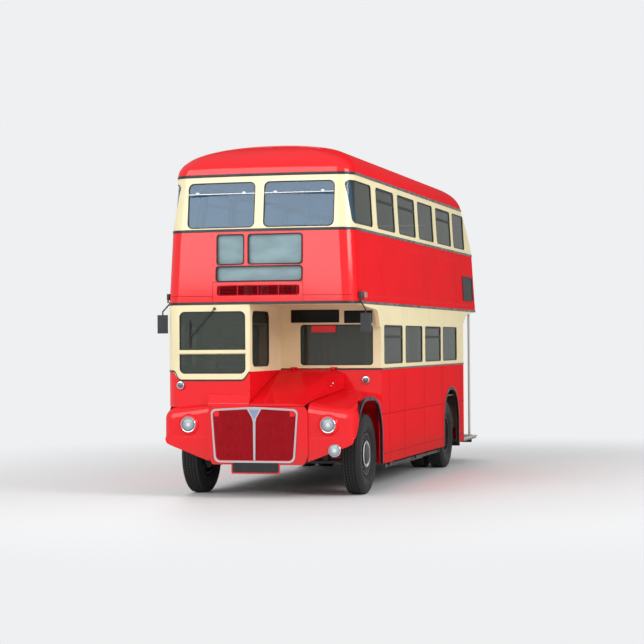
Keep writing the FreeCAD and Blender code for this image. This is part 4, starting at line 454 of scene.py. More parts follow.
def make_finishes():
    c = colours()
    red, cream, bead = tuple(c.red), tuple(c.cream), tuple(c.bead)
    # inside faces of the red panels: a dark brown lining that is also painted shade, so the window reveals
    # read as shadowed gaps
    buff, shaded_inside_brown = (0.62, 0.47, 0.22), (0.10, 0.040, 0.020)
    FINISHES.update({
        "red": coachwork("coach_red", plain_zone(red, shaded_inside_brown)),
        "red_plain": coachwork("coach_red_all", mottled(red, scaled(red, 0.97)), 0.75, 0.12),
        "upper_red": coachwork("upper_red", plain_zone(red, shaded_inside_brown)),
        "cream": coachwork("coach_cream", plain_zone(cream, buff)),
        "cream_plain": coachwork("cream_all", mottled(cream, scaled(cream, 0.97))),
        "roof": coachwork("roof_red", lambda f: f.mix(inner_side(f, (1, 0.3, 1.5)), red, (0.78, 0.70, 0.50))),
        "waist": coachwork("waist_split", waist_zone(red, cream, buff)),
        "cab": coachwork("cab_split", cab_zone(red, cream, (0.085, 0.090, 0.075))),
        "seam": coachwork("seam_red", mottled(scaled(red, 0.33), scaled(red, 0.42), 9), 0.2),
        "hinges": coachwork("hinge_paint", lambda f: f.mix(f.fade(f.z, 2.49, 2.51), red, cream), 0.75, 0.12),
        "intake": coachwork("intake_red", mottled((0.30, 0.005, 0.010), (0.36, 0.006, 0.013), 9), 0.1),
        "ceiling": coachwork("ceiling_cream", lambda f: f.mix(
            f.fade(f.facing_up(), -0.5, 0.5), (0.76, 0.66, 0.44), (0.075, 0.052, 0.036)), 0.15),
        "bead": worn_paint("bead_black", bead, 0.30, 0.10, (0.05, 0.05, 0.05)),
        "arch": worn_paint("arch_edging", (0.007, 0.011, 0.021), 0.34, 0.15, (0.05, 0.05, 0.06), 0.12),
        "chassis": worn_paint("chassis_black", (0.018, 0.018, 0.019)),
        "cast": worn_paint("cast_iron", (0.055, 0.055, 0.055), 0.5, 0.6),
        "plastic": worn_paint("black_moulding", (0.016, 0.017, 0.019), 0.38, 0.15, (0.05, 0.05, 0.05)),
        "gasket": rubber("window_rubber", (0.013, 0.013, 0.014)),
        "chrome": polished("chrome_plate", (0.62, 0.63, 0.66), 0.09),
        "bright": polished("bright_trim", (0.46, 0.50, 0.53), 0.24),
        "wheel": worn_paint("wheel_paint", (0.020, 0.021, 0.023), 0.40, 0.55, (0.085, 0.070, 0.055)),
        "hub": polished("hub_metal", (0.66, 0.67, 0.68), 0.18, 0.22),
        "rail": worn_paint("rail_white", (0.60, 0.58, 0.52), 0.30, 0.15, (0.35, 0.30, 0.22)),
        # the second colour is a painted sky reflection on the upper front panes
        "glass": window_glass("window_glass", tuple(c.glass), (0.200, 0.410, 0.640)),
        # the lamp glass carries painted reflectors, a painted highlight and a ring of painted shade, at the
        # headlamps and fog lamp
        "lens": fluted_lens("lamp_glass", (0.40, 0.46, 0.49),
                            painted_reflectors=((-HEADLAMP[0], HEADLAMP[1]), HEADLAMP, FOG_LAMP)),
        "red_lens": fluted_lens("tail_glass", (0.55, 0.006, 0.006), 0.16, 0.3),
        "amber_lens": fluted_lens("indicator_glass", (0.45, 0.040, 0.006), 0.20, 0.1),
        "smoke_lens": fluted_lens("side_lamp_glass", (0.105, 0.120, 0.140), 0.16),
        "wood": boards("floor_boards", (0.150, 0.098, 0.060), (0.070, 0.045, 0.030)),
        "slats": boards("platform_slats", (0.230, 0.175, 0.120), (0.120, 0.085, 0.055)),
        "nosing": worn_paint("grey_nosing", (0.42, 0.43, 0.43), 0.40, 0.35, (0.20, 0.18, 0.16)),
        "blind": blind_cloth("blank_blind", tuple(c.blind)),
        "dark_blind": blind_cloth("dark_panel", (0.012, 0.013, 0.012), 0.1),
        "cloth": moquette("seat_moquette", tuple(c.moquette)),
        "hide": rubber("driver_hide", (0.030, 0.022, 0.018), 0.45),
        "gauze": woven_mesh("grille_gauze", tuple(c.grille)),
        "wire": worn_paint("grille_wire", scaled(c.grille, 1.1), 0.45, 0.2, (0.20, 0.006, 0.010), 0.15),
        "enamel": worn_paint("badge_enamel", (0.22, 0.27, 0.42), 0.18, 0.05, (0.2, 0.25, 0.4)),
        "plate": worn_paint("plate_black", (0.008, 0.008, 0.009), 0.30, 0.08, (0.03, 0.03, 0.03)),
        "tyre": tyre_rubber("tyre_rubber", TYRE_RADIUS, (FRONT_AXLE, REAR_AXLE)),
    })


# ------------------------------------------------------------------ shaping
def reading(table, height):
    """Straight-line reading of a (height, value) table."""
    for (low, first), (high, second) in zip(table, table[1:]):
        if height <= high:
            return first + (second - first) * max(height - low, 0) / (high - low)
    return table[-1][1]


def flank(height, side=1):
    return side * (reading(FLANK, height) if height > DECK_LINE else HALF_WIDTH)


def face(height):
    return reading(FACE, height) if height > DECK_LINE else FRONT


def piece(bm, name, finish, slot, body="body", rounding=0.0, sharp=38.0):
    """Makes an object of a finished bmesh, at the origin, riding on a body."""
    bmesh.ops.recalc_face_normals(bm, faces=bm.faces[:])
    mesh = bpy.data.meshes.new(name)
    bm.to_mesh(mesh)
    bm.free()
    for polygon in mesh.polygons:
        polygon.use_smooth = True
    mesh.set_sharp_from_angle(angle=math.radians(sharp))
    obj = bpy.data.objects.new(name, mesh)
    bpy.context.scene.collection.objects.link(obj)
    mesh.materials.append(FINISHES[finish])
    if rounding:
        bevel = obj.modifiers.new("edges", "BEVEL")
        bevel.width, bevel.segments = rounding, 2
        bevel.limit_method, bevel.angle_limit = "ANGLE", math.radians(40)
    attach(obj, body)
    return obj


def outward(point):
    """The way out of the body at a point: to a side near the flanks, else to an end."""
    way = Vector((math.copysign(abs(point.x / HALF_WIDTH) ** 8, point.x),
                  math.copysign(abs(point.y / 4.15) ** 8, point.y), 0))
    return way.normalized()


def trim_to(bm, planes):
    """Cuts away what lies past each plane, given by a point and the normal of the lost side."""
    for point, normal in planes:
        bmesh.ops.bisect_plane(bm, geom=bm.verts[:] + bm.edges[:] + bm.faces[:], plane_co=point,
                               plane_no=normal, clear_outer=True)


def skin_of(node, low, high, planes=(), keep=outward):
    """The outer surface of a built node between two heights, as an open skin."""
    bm = bmesh.new()
    bm.from_mesh(NODES[node].data)
    bmesh.ops.remove_doubles(bm, verts=bm.verts[:], dist=2e-5)
    trim_to(bm, [((0, 0, low), (0, 0, -1)), ((0, 0, high), (0, 0, 1))] + list(planes))
    inner = [f for f in bm.faces if f.normal.dot(keep(f.calc_center_median())) < 0.5]
    bmesh.ops.delete(bm, geom=inner, context="FACES")
    return bm


def push(bm, faces, way=(0, 0, 0)):
    """Extrudes faces by way; returns the new vertices."""
    made = bmesh.ops.extrude_face_region(bm, geom=faces)["geom"]
    made = [g for g in made if isinstance(g, bmesh.types.BMVert)]
    bmesh.ops.translate(bm, verts=made, vec=way)
    return made


def thicken(bm, proud, sunk=0.001):
    """Gives an open skin a wall, from sunk in its body to proud of it."""
    bmesh.ops.dissolve_degenerate(bm, dist=0.0004, edges=bm.edges[:])
    bm.normal_update()
    ways = [(v, v.normal.copy(), v.co.copy()) for v in bm.verts]
    near = KDTree(len(ways))
    for i, (_, _, place) in enumerate(ways):
        near.insert(place, i)
    near.balance()
    for v in push(bm, bm.faces[:]):
        v.co += ways[near.find(v.co)[1]][1] * proud
    for v, way, place in ways:
        v.co = place - way * sunk


def absorb(bm, other):
    """Adds one bmesh to another."""
    spare = bpy.data.meshes.new("spare")
    other.to_mesh(spare)
    other.free()
    bm.from_mesh(spare)
    bpy.data.meshes.remove(spare)


def planes_at(axis, low, high):
    """Cutting planes that keep what lies between two places on an axis."""
    way = Vector([float(i == axis) for i in range(3)])
    return [(way * low, -way), (way * high, way)]


def sideways(point):
    return Vector((math.copysign(1, point.x), 0, 0))


def forward(_):
    return Vector((0, -1, 0))


def overlay(bm, node, low, high, proud, planes=(), keep=outward):
    """Adds a thin strip to bm that lies on the skin of a built node."""
    skin = skin_of(node, low, high, planes, keep)
    thicken(skin, proud)
    absorb(bm, skin)


def block(bm, low, high, turn=None):
    """A box between two corners, optionally turned about its middle."""
    low, high = Vector(low), Vector(high)
    place = Matrix.Translation((low + high) / 2)
    if turn:
        place = place @ turn
    place = place @ Matrix.Diagonal([abs(c) for c in (high - low)] + [1])
    return bmesh.ops.create_cube(bm, size=1.0, matrix=place)["verts"]


def boxes(name, finish, slot, corners, rounding=0.0):
    """A piece of plain boxes, each given by its two corners."""
    bm = bmesh.new()
    for low, high in corners:
        block(bm, low, high)
    piece(bm, name, finish, slot, rounding=rounding)


def pipe(bm, points, radius, sides=12):
    """A round bar through the points, closed at both ends."""
    points = [Vector(p) for p in points]
    last = None
    for i, point in enumerate(points):
        way = (points[min(i + 1, len(points) - 1)] - points[max(i - 1, 0)]).normalized()
        place = Matrix.Translation(point) @ way.to_track_quat("Z", "Y").to_matrix().to_4x4()
        ring = bmesh.ops.create_circle(bm, segments=sides, radius=radius, matrix=place)["verts"]
        edges = list({e for v in ring for e in v.link_edges})
        if last is not None:
            bmesh.ops.bridge_loops(bm, edges=last + edges)
        if i in (0, len(points) - 1):
            bmesh.ops.contextual_create(bm, geom=edges)
        last = edges


def turned(bm, profile, centre, axis, steps=48, closed=False):
    """A turned piece: profile is (radius, along) about an axis through centre."""
    axis = Vector(axis).normalized()
    place = Matrix.Translation(centre) @ axis.to_track_quat("Z", "Y").to_matrix().to_4x4()
    verts = [bm.verts.new(place @ Vector((r, 0, a))) for r, a in profile]
    edges = [bm.edges.new(pair) for pair in zip(verts, verts[1:])]
    if closed:
        edges.append(bm.edges.new((verts[-1], verts[0])))
    bmesh.ops.spin(bm, geom=verts + edges, cent=centre, axis=axis, angle=2 * math.pi, steps=steps,
                   use_merge=True, use_duplicate=False)
    bmesh.ops.remove_doubles(bm, verts=bm.verts[:], dist=1e-6)


def rounded_outline(x0, x1, z0, z1, corner, steps=5):
    """(x, z) points round a rectangle with rounded corners."""
    points = []
    for cx, cz, start in ((x1 - corner, z1 - corner, 0), (x0 + corner, z1 - corner, 90),
                          (x0 + corner, z0 + corner, 180), (x1 - corner, z0 + corner, 270)):
        for i in range(steps + 1):
            angle = math.radians(start + 90 * i / steps)
            points.append((cx + corner * math.cos(angle), cz + corner * math.sin(angle)))
    return points


def surround(bm, outline, width, place, proud):
    """A frame round an outline. place puts an outline's point in space; proud is the frame's thickness."""
    loops = []
    middle = (sum(p[0] for p in outline) / len(outline), sum(p[1] for p in outline) / len(outline))
    span = [max(abs(p[i] - middle[i]) for p in outline) for i in (0, 1)]
    for grow in (0.0, width):
        loop = []
        for p in outline:
            spot = [middle[i] + (p[i] - middle[i]) * (span[i] + grow) / span[i] for i in (0, 1)]
            loop.append(bm.verts.new(place(*spot)))
        loops.append([bm.edges.new((loop[i], loop[(i + 1) % len(loop)])) for i in range(len(loop))])
    faces = bmesh.ops.bridge_loops(bm, edges=loops[0] + loops[1])["faces"]
    push(bm, faces, proud)
    bmesh.ops.reverse_faces(bm, faces=faces)


def plate(bm, outline, place, proud):
    """A flat plate with the outline, pushed out by proud."""
    push(bm, [bm.faces.new([bm.verts.new(place(*p)) for p in outline])], proud)


def ribbon(bm, path, width, thick):
    """A flat band along path, a list of (point, way out): upright by width, and thick along each way."""
    half = Vector((0, 0, width / 2))
    upper = [bm.verts.new(Vector(p) + half) for p, _ in path]
    lower = [bm.verts.new(Vector(p) - half) for p, _ in path]
    faces = [bm.faces.new((upper[i], lower[i], lower[i + 1], upper[i + 1])) for i in range(len(path) - 1)]
    for v in push(bm, faces):
        _, way = min(path, key=lambda pair: (Vector(pair[0]) - v.co).length)
        v.co += Vector(way) * thick


def assign(finish, *nodes):
    for node in nodes:
        for slot in NODES[node].material_slots:
            slot.material = FINISHES[finish]


def islands(bm):
    """Lists of the faces that hang together."""
    left, groups = set(bm.faces), []
    while left:
        stack, group = [left.pop()], []
        while stack:
            f = stack.pop()
            group.append(f)
            for e in f.edges:
                for other in e.link_faces:
                    if other in left:
                        left.remove(other)
                        stack.append(other)
        groups.append(group)
    return groups


# ------------------------------------------------------------------ the body
class BUS_OT_paint_coachwork(bpy.types.Operator):
    """Gives every built piece its paint, metal, glass or wood"""

    bl_idname = "bus.paint_coachwork"
    bl_label = "Paint the coachwork"

    def execute(self, context):
        make_finishes()
        assign("red", "side_skirts")
        assign("red_plain", "wings", "nose_panel", "bonnet")
        assign("hinges", "hinge_brackets")
        assign("upper_red", "upper_panels")
        assign("cream", "window_walls", "upper_window_band", "emergency_window")
        assign("roof", "roof")
        assign("waist", "bulkheads", "rear_lower_wall")
        assign("cab", "cab_shell", "cab_door")
        assign("ceiling", "upper_floor")
        assign("wood", "lower_floor", "staircase")
        assign("slats", "platform_floor")
        assign("chassis", "cab_floor", "underframe", "exhaust", "fuel_tank", "lifeguards")
        assign("cast", "engine", "transmission", "front_suspension", "rear_axle", "knuckle_nearside",
               "knuckle_offside", "track_rod")
        assign("wheel", "front_rim_nearside", "front_rim_offside", "rear_rims_nearside", "rear_rims_offside")
        assign("tyre", "front_tyre_nearside", "front_tyre_offside", "rear_tyres_nearside",
               "rear_tyres_offside")
        assign("glass", "upper_glass", "lower_glass", "emergency_glass", "cab_door_glass")
        assign("chrome", "grille_surround")
        assign("gauze", "grille_mesh")
        assign("intake", "intake_grille")
        assign("blind", "destination_blinds")
        assign("rail", "handrails", "seat_frames")
        assign("plastic", "steering_column", "mirrors", "small_lamps", "wiper")
        assign("cloth", "lower_seats", "upper_seats")
        assign("hide", "driver_seat")
        assign("lens", "headlamps")
        return {"FINISHED"}


class BUS_OT_fit_beads(bpy.types.Operator):
    """Black half-round beads along the waist, deck line, upper sill and cantrail"""

    bl_idname = "bus.fit_beads"
    bl_label = "Fit the beads"

    def execute(self, context):
        height, tall, proud = sizes().bead_height, sizes().tall_bead, sizes().bead_proud
        for name, node, low, high in (("cantrail", "roof", CANTRAIL + 0.001, CANTRAIL + tall),
                                      ("upper_sill", "upper_panels", UPPER_SILL - tall, UPPER_SILL),
                                      ("deck_line", "upper_panels", DECK_LINE + 0.001, DECK_LINE + tall),
                                      ("waist", "side_skirts", WAIST - height, WAIST),
                                      ("waist_rear", "rear_lower_wall", WAIST - height, WAIST)):
            bm = skin_of(node, low, high - 0.0005)
            thicken(bm, proud)
            piece(bm, "bead_" + name, "bead", "black_plastic", rounding=0.002)
        boxes("bead_bulkhead", "bead", "black_plastic",
              [((x0, BULKHEAD - 0.006, WAIST - height), (x1, BULKHEAD + 0.001, WAIST))
               for x0, x1 in ((-0.108, 0.735), (0.735, HALF_WIDTH))], 0.002)
        self.cab_beads(proud)
        return {"FINISHED"}

    def cab_beads(self, proud):
        """The waist bead round the cab and behind its doorway, and one on the door itself."""
        shell = bmesh.new()
        shell.from_mesh(NODES["cab_shell"].data)
        wall = BVHTree.FromBMesh(shell)
        shell.free()

        def on_wall(x, y, z):
            place, normal = wall.find_nearest(Vector((x, y, z)))[:2]
            return place, Vector((normal.x, normal.y, 0)).normalized()

        line, width = WAIST - 0.011, 0.020
        corner = Vector((CAB_ROUND - HALF_WIDTH, FRONT + CAB_ROUND))
        path = [on_wall(-HALF_WIDTH, DOORWAY[0] - 0.004 + (corner.y - DOORWAY[0]) * i / 6, line)
                for i in range(7)]
        for i in range(1, 13):
            angle = math.radians(90 * i / 12)
            x, y = corner.x - CAB_ROUND * math.cos(angle), corner.y - CAB_ROUND * math.sin(angle)
            path.append(on_wall(x, y, cab_dip(x)))
        for i in range(1, 49):
            x = corner.x + (CAB_END - corner.x) * i / 48
            path.append(on_wall(x, FRONT, cab_dip(x)))
        bm = bmesh.new()
        ribbon(bm, path, width, proud)
        ends = (BULKHEAD - 0.001, DOORWAY[1] + 0.004)
        ribbon(bm, [on_wall(-HALF_WIDTH, y, line) for y in ends], width, proud)
        piece(bm, "bead_cab", "bead", "black_plastic", rounding=0.002)
        bm = bmesh.new()
        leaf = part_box("cab_door")[0].x + 0.0005
        ribbon(bm, [((leaf, y, line), (-1, 0, 0)) for y in (DOORWAY[1] - 0.006, DOORWAY[0] + 0.006)],
               width, 0.0025)
        piece(bm, "bead_cab_door", "bead", "black_plastic", body="cab_door")


class BUS_OT_fit_strips(bpy.types.Operator):
    """Cover strips, panel joints and the thin frame on the upper side panels"""

    bl_idname = "bus.fit_strips"
    bl_label = "Fit the panel strips"

    def execute(self, context):
        width = sizes().strip_width
        joints = bmesh.new()
        for y in (-2.300, -1.395, -0.100, 1.197, 2.640):
            overlay(joints, "side_skirts", SKIRT_BOTTOM, WAIST - 0.022, 0.0010,
                    planes_at(1, y - 0.003, y + 0.003))
        for low in (0.974, 0.468):
            overlay(joints, "side_skirts", low, low + 0.006, 0.0011)
        piece(joints, "skirt_joints", "seam", "red_paint")
        frames = bmesh.new()
        for low, ends in ((3.140, (-2.620, 2.450)), (2.462, (-4.000, 4.050))):
            overlay(frames, "upper_panels", low, low + width, 0.0032, planes_at(1, *ends), sideways)
        for y in (-2.608, 0.950, 2.438):
            overlay(frames, "upper_panels", 2.474, 3.140, 0.0030, planes_at(1, y - width / 2, y + width / 2),
                    sideways)
        piece(frames, "upper_frames", "red_plain", "red_paint", rounding=0.001)
        front = bmesh.new()
        front_only = [((0, -3.0, 0), (0, 1, 0))]
        for x0, x1, z0, z1 in ((-1.150, -0.588, 2.470, 2.476), (0.562, 1.150, 2.470, 2.476),
                               (-0.588, 0.562, 2.640, 2.645), (-0.590, -0.585, 2.392, 2.645),
                               (0.559, 0.564, 2.392, 2.645)):
            overlay(front, "upper_panels", z0, z1, 0.0012, planes_at(0, x0, x1) + front_only, forward)
        piece(front, "front_joints", "seam", "red_paint")
        return {"FINISHED"}


class BUS_OT_glaze(bpy.types.Operator):
    """Rubber gaskets round every pane, hopper bars and vent rails"""

    bl_idname = "bus.glaze"
    bl_label = "Fit gaskets and bars"

    def execute(self, context):
        for node, body in (("upper_glass", "body"), ("lower_glass", "body"),
                           ("emergency_glass", "emergency_window"), ("cab_door_glass", "cab_door")):
            bm = bmesh.new()
            bm.from_mesh(NODES[node].data)
            bmesh.ops.remove_doubles(bm, verts=bm.verts[:], dist=2e-5)
            keep = []
            for group in islands(bm):
                spread = Vector((0, 0, 0))
                middle = Vector((0, 0, 0))
                area = sum(f.calc_area() for f in group)
                for f in group:
                    spread += Vector([abs(c) for c in f.normal]) * f.calc_area()
                    middle += f.calc_center_median() * f.calc_area() / area
                way = sideways(middle) if spread.x > spread.y else Vector((0, math.copysign(1, middle.y), 0))
                if node == "lower_glass" and spread.x > spread.y and abs(middle.x) < 0.2:
                    way = Vector((1, 0, 0))
                if abs(middle.y - BULKHEAD) < 0.05 and spread.y > spread.x:
                    way = Vector((0, -1, 0))
                keep += [f for f in group if f.normal.dot(way) > 0.6]
            kept = set(keep)
            bmesh.ops.delete(bm, geom=[f for f in bm.faces if f not in kept], context="FACES")
            inner, width = bm.faces[:], sizes().gasket_width
            rim = [v.co.copy() for v in bm.verts if v.is_boundary]
            bmesh.ops.inset_region(bm, faces=inner, thickness=width, use_boundary=True)
            bmesh.ops.delete(bm, geom=[f for f in inner if f.is_valid], context="FACES")
            edge = KDTree(len(rim))
            for i, place in enumerate(rim):
                edge.insert(place, i)
            edge.balance()
            for v in bm.verts:
                place, _, far = edge.find(v.co)
                if far > 1.3 * width:
                    v.co = place + (v.co - place) * (width / far)
            thicken(bm, sizes().gasket_proud, 0.0005)
            piece(bm, node.replace("_glass", "") + "_gaskets", "gasket", "black_plastic", body=body)
        self.hoppers()
        self.front_rails()
        return {"FINISHED"}

    def hoppers(self):
        """Sliding top lights: a bar across and a thin frame above it."""
        bm = bmesh.new()
        lower = ((-2.5925, -1.4755), (-0.0175, 1.1255))
        upper = ((-2.7155, -1.6615), (-1.4485, -0.3445), (1.1285, 2.2375))
        for spans, bottom, top in ((lower, 1.612, 2.115), (upper, 3.340, 3.872)):
            level = top - 0.30 * (top - bottom)
            for y0, y1 in spans:
                for side in (-1, 1):
                    lean = math.atan2(flank(top) - flank(bottom), top - bottom)
                    turn = Matrix.Rotation(side * lean, 4, "Y")
                    # the bar, the frame's top and its two uprights
                    for z0, z1, ya, yb, deep in (
                            (level - 0.016, level + 0.016, y0 + 0.008, y1 - 0.008, 0.010),
                            (top - 0.030, top - 0.012, y0 + 0.030, y1 - 0.030, 0.007),
                            (level + 0.016, top - 0.014, y0 + 0.010, y0 + 0.028, 0.007),
                            (level + 0.016, top - 0.014, y1 - 0.028, y1 - 0.010, 0.007)):
                        x = flank((z0 + z1) / 2) - 0.0145
                        block(bm, (side * x, ya, z0), (side * (x + deep), yb, z1), turn)
        piece(bm, "hopper_frames", "gasket", "black_plastic", rounding=0.002)

    def front_rails(self):
        """Pale drop-light rails in the upper front windows and the windscreen's cross bar."""
        bm = bmesh.new()
        level = 3.872 - 0.27 * 0.532
        for side in (-1, 1):
            y = face(level) + 0.0125
            pipe(bm, [(side * 0.060, y, level), (side * 0.930, y, level)], 0.011, 10)
            for x in (0.20, 0.80):
                block(bm, (side * x - 0.02, y - 0.012, level + 0.008),
                      (side * x + 0.02, y + 0.002, level + 0.024))
        piece(bm, "front_vent_rails", "bright", "chrome", rounding=0.001)
        boxes("windscreen_bar", "cream_plain", "cream_paint",
              [((-1.034, FRONT - 0.002, 1.768), (-0.166, FRONT + 0.034, 1.812)),
               ((-1.030, FRONT + 0.010, 1.760), (-0.170, FRONT + 0.030, 1.768))], 0.004)


def arch_points(grow, rear):
    """(y, z) points round a wheel arch, from its front foot to its rear foot, drawn larger by grow."""
    axle, (ahead, behind) = (REAR_AXLE, REAR_ARCH) if rear else (FRONT_AXLE, FRONT_ARCH)
    top, radius = ARCH_TOP + grow, ARCH_ROUND + grow

    def bend(y, z, first, last):
        turns = [math.radians(first + (last - first) * i / 10) for i in range(11)]
        return [(y + radius * math.cos(turn), z + radius * math.sin(turn)) for turn in turns]

    if rear:
        y = axle.y + ahead - grow
        points = [(y, SKIRT_BOTTOM)] + bend(y + radius, top - radius, 180, 90)
    else:
        slope = WING_SLOPE.normalized()
        normal = Vector((-slope.y, slope.x))
        reach = ARCH_ROUND / math.tan(math.acos(-slope.x) / 2)
        foot = WING_FOOT + 0.40 * Vector((1, WING_SLOPE.y / WING_SLOPE.x)) + normal * grow
        points = [tuple(foot)] + bend(axle.y + ahead + reach, ARCH_TOP - ARCH_ROUND,
                                      math.degrees(math.atan2(normal.y, normal.x)), 90)
    y = axle.y + behind + grow
    return points + bend(y - radius, top - radius, 90, 0) + [(y, SKIRT_BOTTOM)]


class BUS_OT_edge_arches(bpy.types.Operator):
    """Dark edging round the four wheel arches"""

    bl_idname = "bus.edge_arches"
    bl_label = "Edge the wheel arches"

    def execute(self, context):
        for name, rear in (("front", False), ("rear", True)):
            bm = bmesh.new()
            for side in (-1, 1):
                inner, outer = arch_points(-0.006, rear), arch_points(sizes().arch_trim, rear)
                if not rear and side < 0:
                    # the cab's floor closes the offside arch lower down
                    inner = [(y, min(z, CAB_BOTTOM - 0.006)) for y, z in inner]
                    outer = [(y, min(z, CAB_BOTTOM + sizes().arch_trim)) for y, z in outer]
                x = side * (HALF_WIDTH + 0.004)
                verts = [[bm.verts.new((x, y, z)) for y, z in line] for line in (inner, outer)]
                for i in range(len(inner) - 1):
                    bm.faces.new((verts[0][i], verts[1][i], verts[1][i + 1], verts[0][i + 1]))
                faces = [f for f in bm.faces if f.verts[0].co.x * side > 0]
                push(bm, faces, (-side * 0.030, 0, 0))
            piece(bm, "arch_edging_" + name, "arch", "black_plastic", rounding=0.006)
        return {"FINISHED"}


# ------------------------------------------------------------------ the front
class BUS_OT_dress_grille(bpy.types.Operator):
    """Bright centre strip, bare triangular badge, fine wires and corner plates of the grille"""

    bl_idname = "bus.dress_grille"
    bl_label = "Dress the grille"

    def execute(self, context):
        low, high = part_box("grille_surround")
        middle = (low.x + high.x) / 2
        mesh_low, mesh_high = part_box("grille_mesh")
        face_y = mesh_low.y
        wires = bmesh.new()
        count = 84
        for i in range(count):
            x = mesh_low.x + 0.016 + (mesh_high.x - mesh_low.x - 0.032) * i / (count - 1)
            draw = 0.045 * (1 - (mesh_high.z - 0.02 - mesh_low.z) / 0.65)
            edge = min(x - mesh_low.x, mesh_high.x - x)
            foot = mesh_low.z + 0.012 + (0.34 * max(0.05 - edge, 0) / 0.05 + draw if edge < 0.05 else 0)
            top = mesh_high.z - 0.012 - 0.024 * ((x - middle) / 0.52) ** 2 - max(0.03 - edge, 0)
            block(wires, (x - 0.0017, face_y + 0.0048, foot), (x + 0.0017, face_y + 0.0088, top))
        for i in range(30):
            z = mesh_low.z + 0.02 + (mesh_high.z - mesh_low.z - 0.06) * i / 29
            inset = 0.010 + 0.045 * (mesh_high.z - z) / 0.616
            block(wires, (mesh_low.x + inset, face_y + 0.0070, z - 0.0015),
                  (mesh_high.x - inset, face_y + 0.0100, z + 0.0015))
        piece(wires, "grille_wires", "wire", "mesh_paint")
        bright = bmesh.new()
        half = ((0.030, 0.985), (0.098, 1.100), (0.160, 1.106))
        plate(bright, [(middle - 0.013, 0.452), (middle + 0.013, 0.452), (middle + 0.017, 0.930)]
              + [(middle + x, z) for x, z in half] + [(middle, 1.114)]
              + [(middle - x, z) for x, z in half[::-1]] + [(middle - 0.017, 0.930)],
              lambda x, z: Vector((x, NOSE + 0.010, z)), (0, -0.0090, 0))
        piece(bright, "grille_strip", "chrome", "chrome", rounding=0.003)
        badge = bmesh.new()
        plate(badge, [(middle, 0.962), (middle + 0.066, 1.084), (middle - 0.066, 1.084)],
              lambda x, z: Vector((x, NOSE + 0.002, z)), (0, -0.0016, 0))
        piece(badge, "badge_field", "enamel", "red_paint", rounding=0.0008)
        boxes("grille_corner_plates", "red_plain", "red_paint",
              [((x, face_y + 0.0005, 1.000), (x + 0.068, face_y + 0.0050, 1.066))
               for x in (low.x + 0.034, high.x - 0.102)], 0.003)
        return {"FINISHED"}


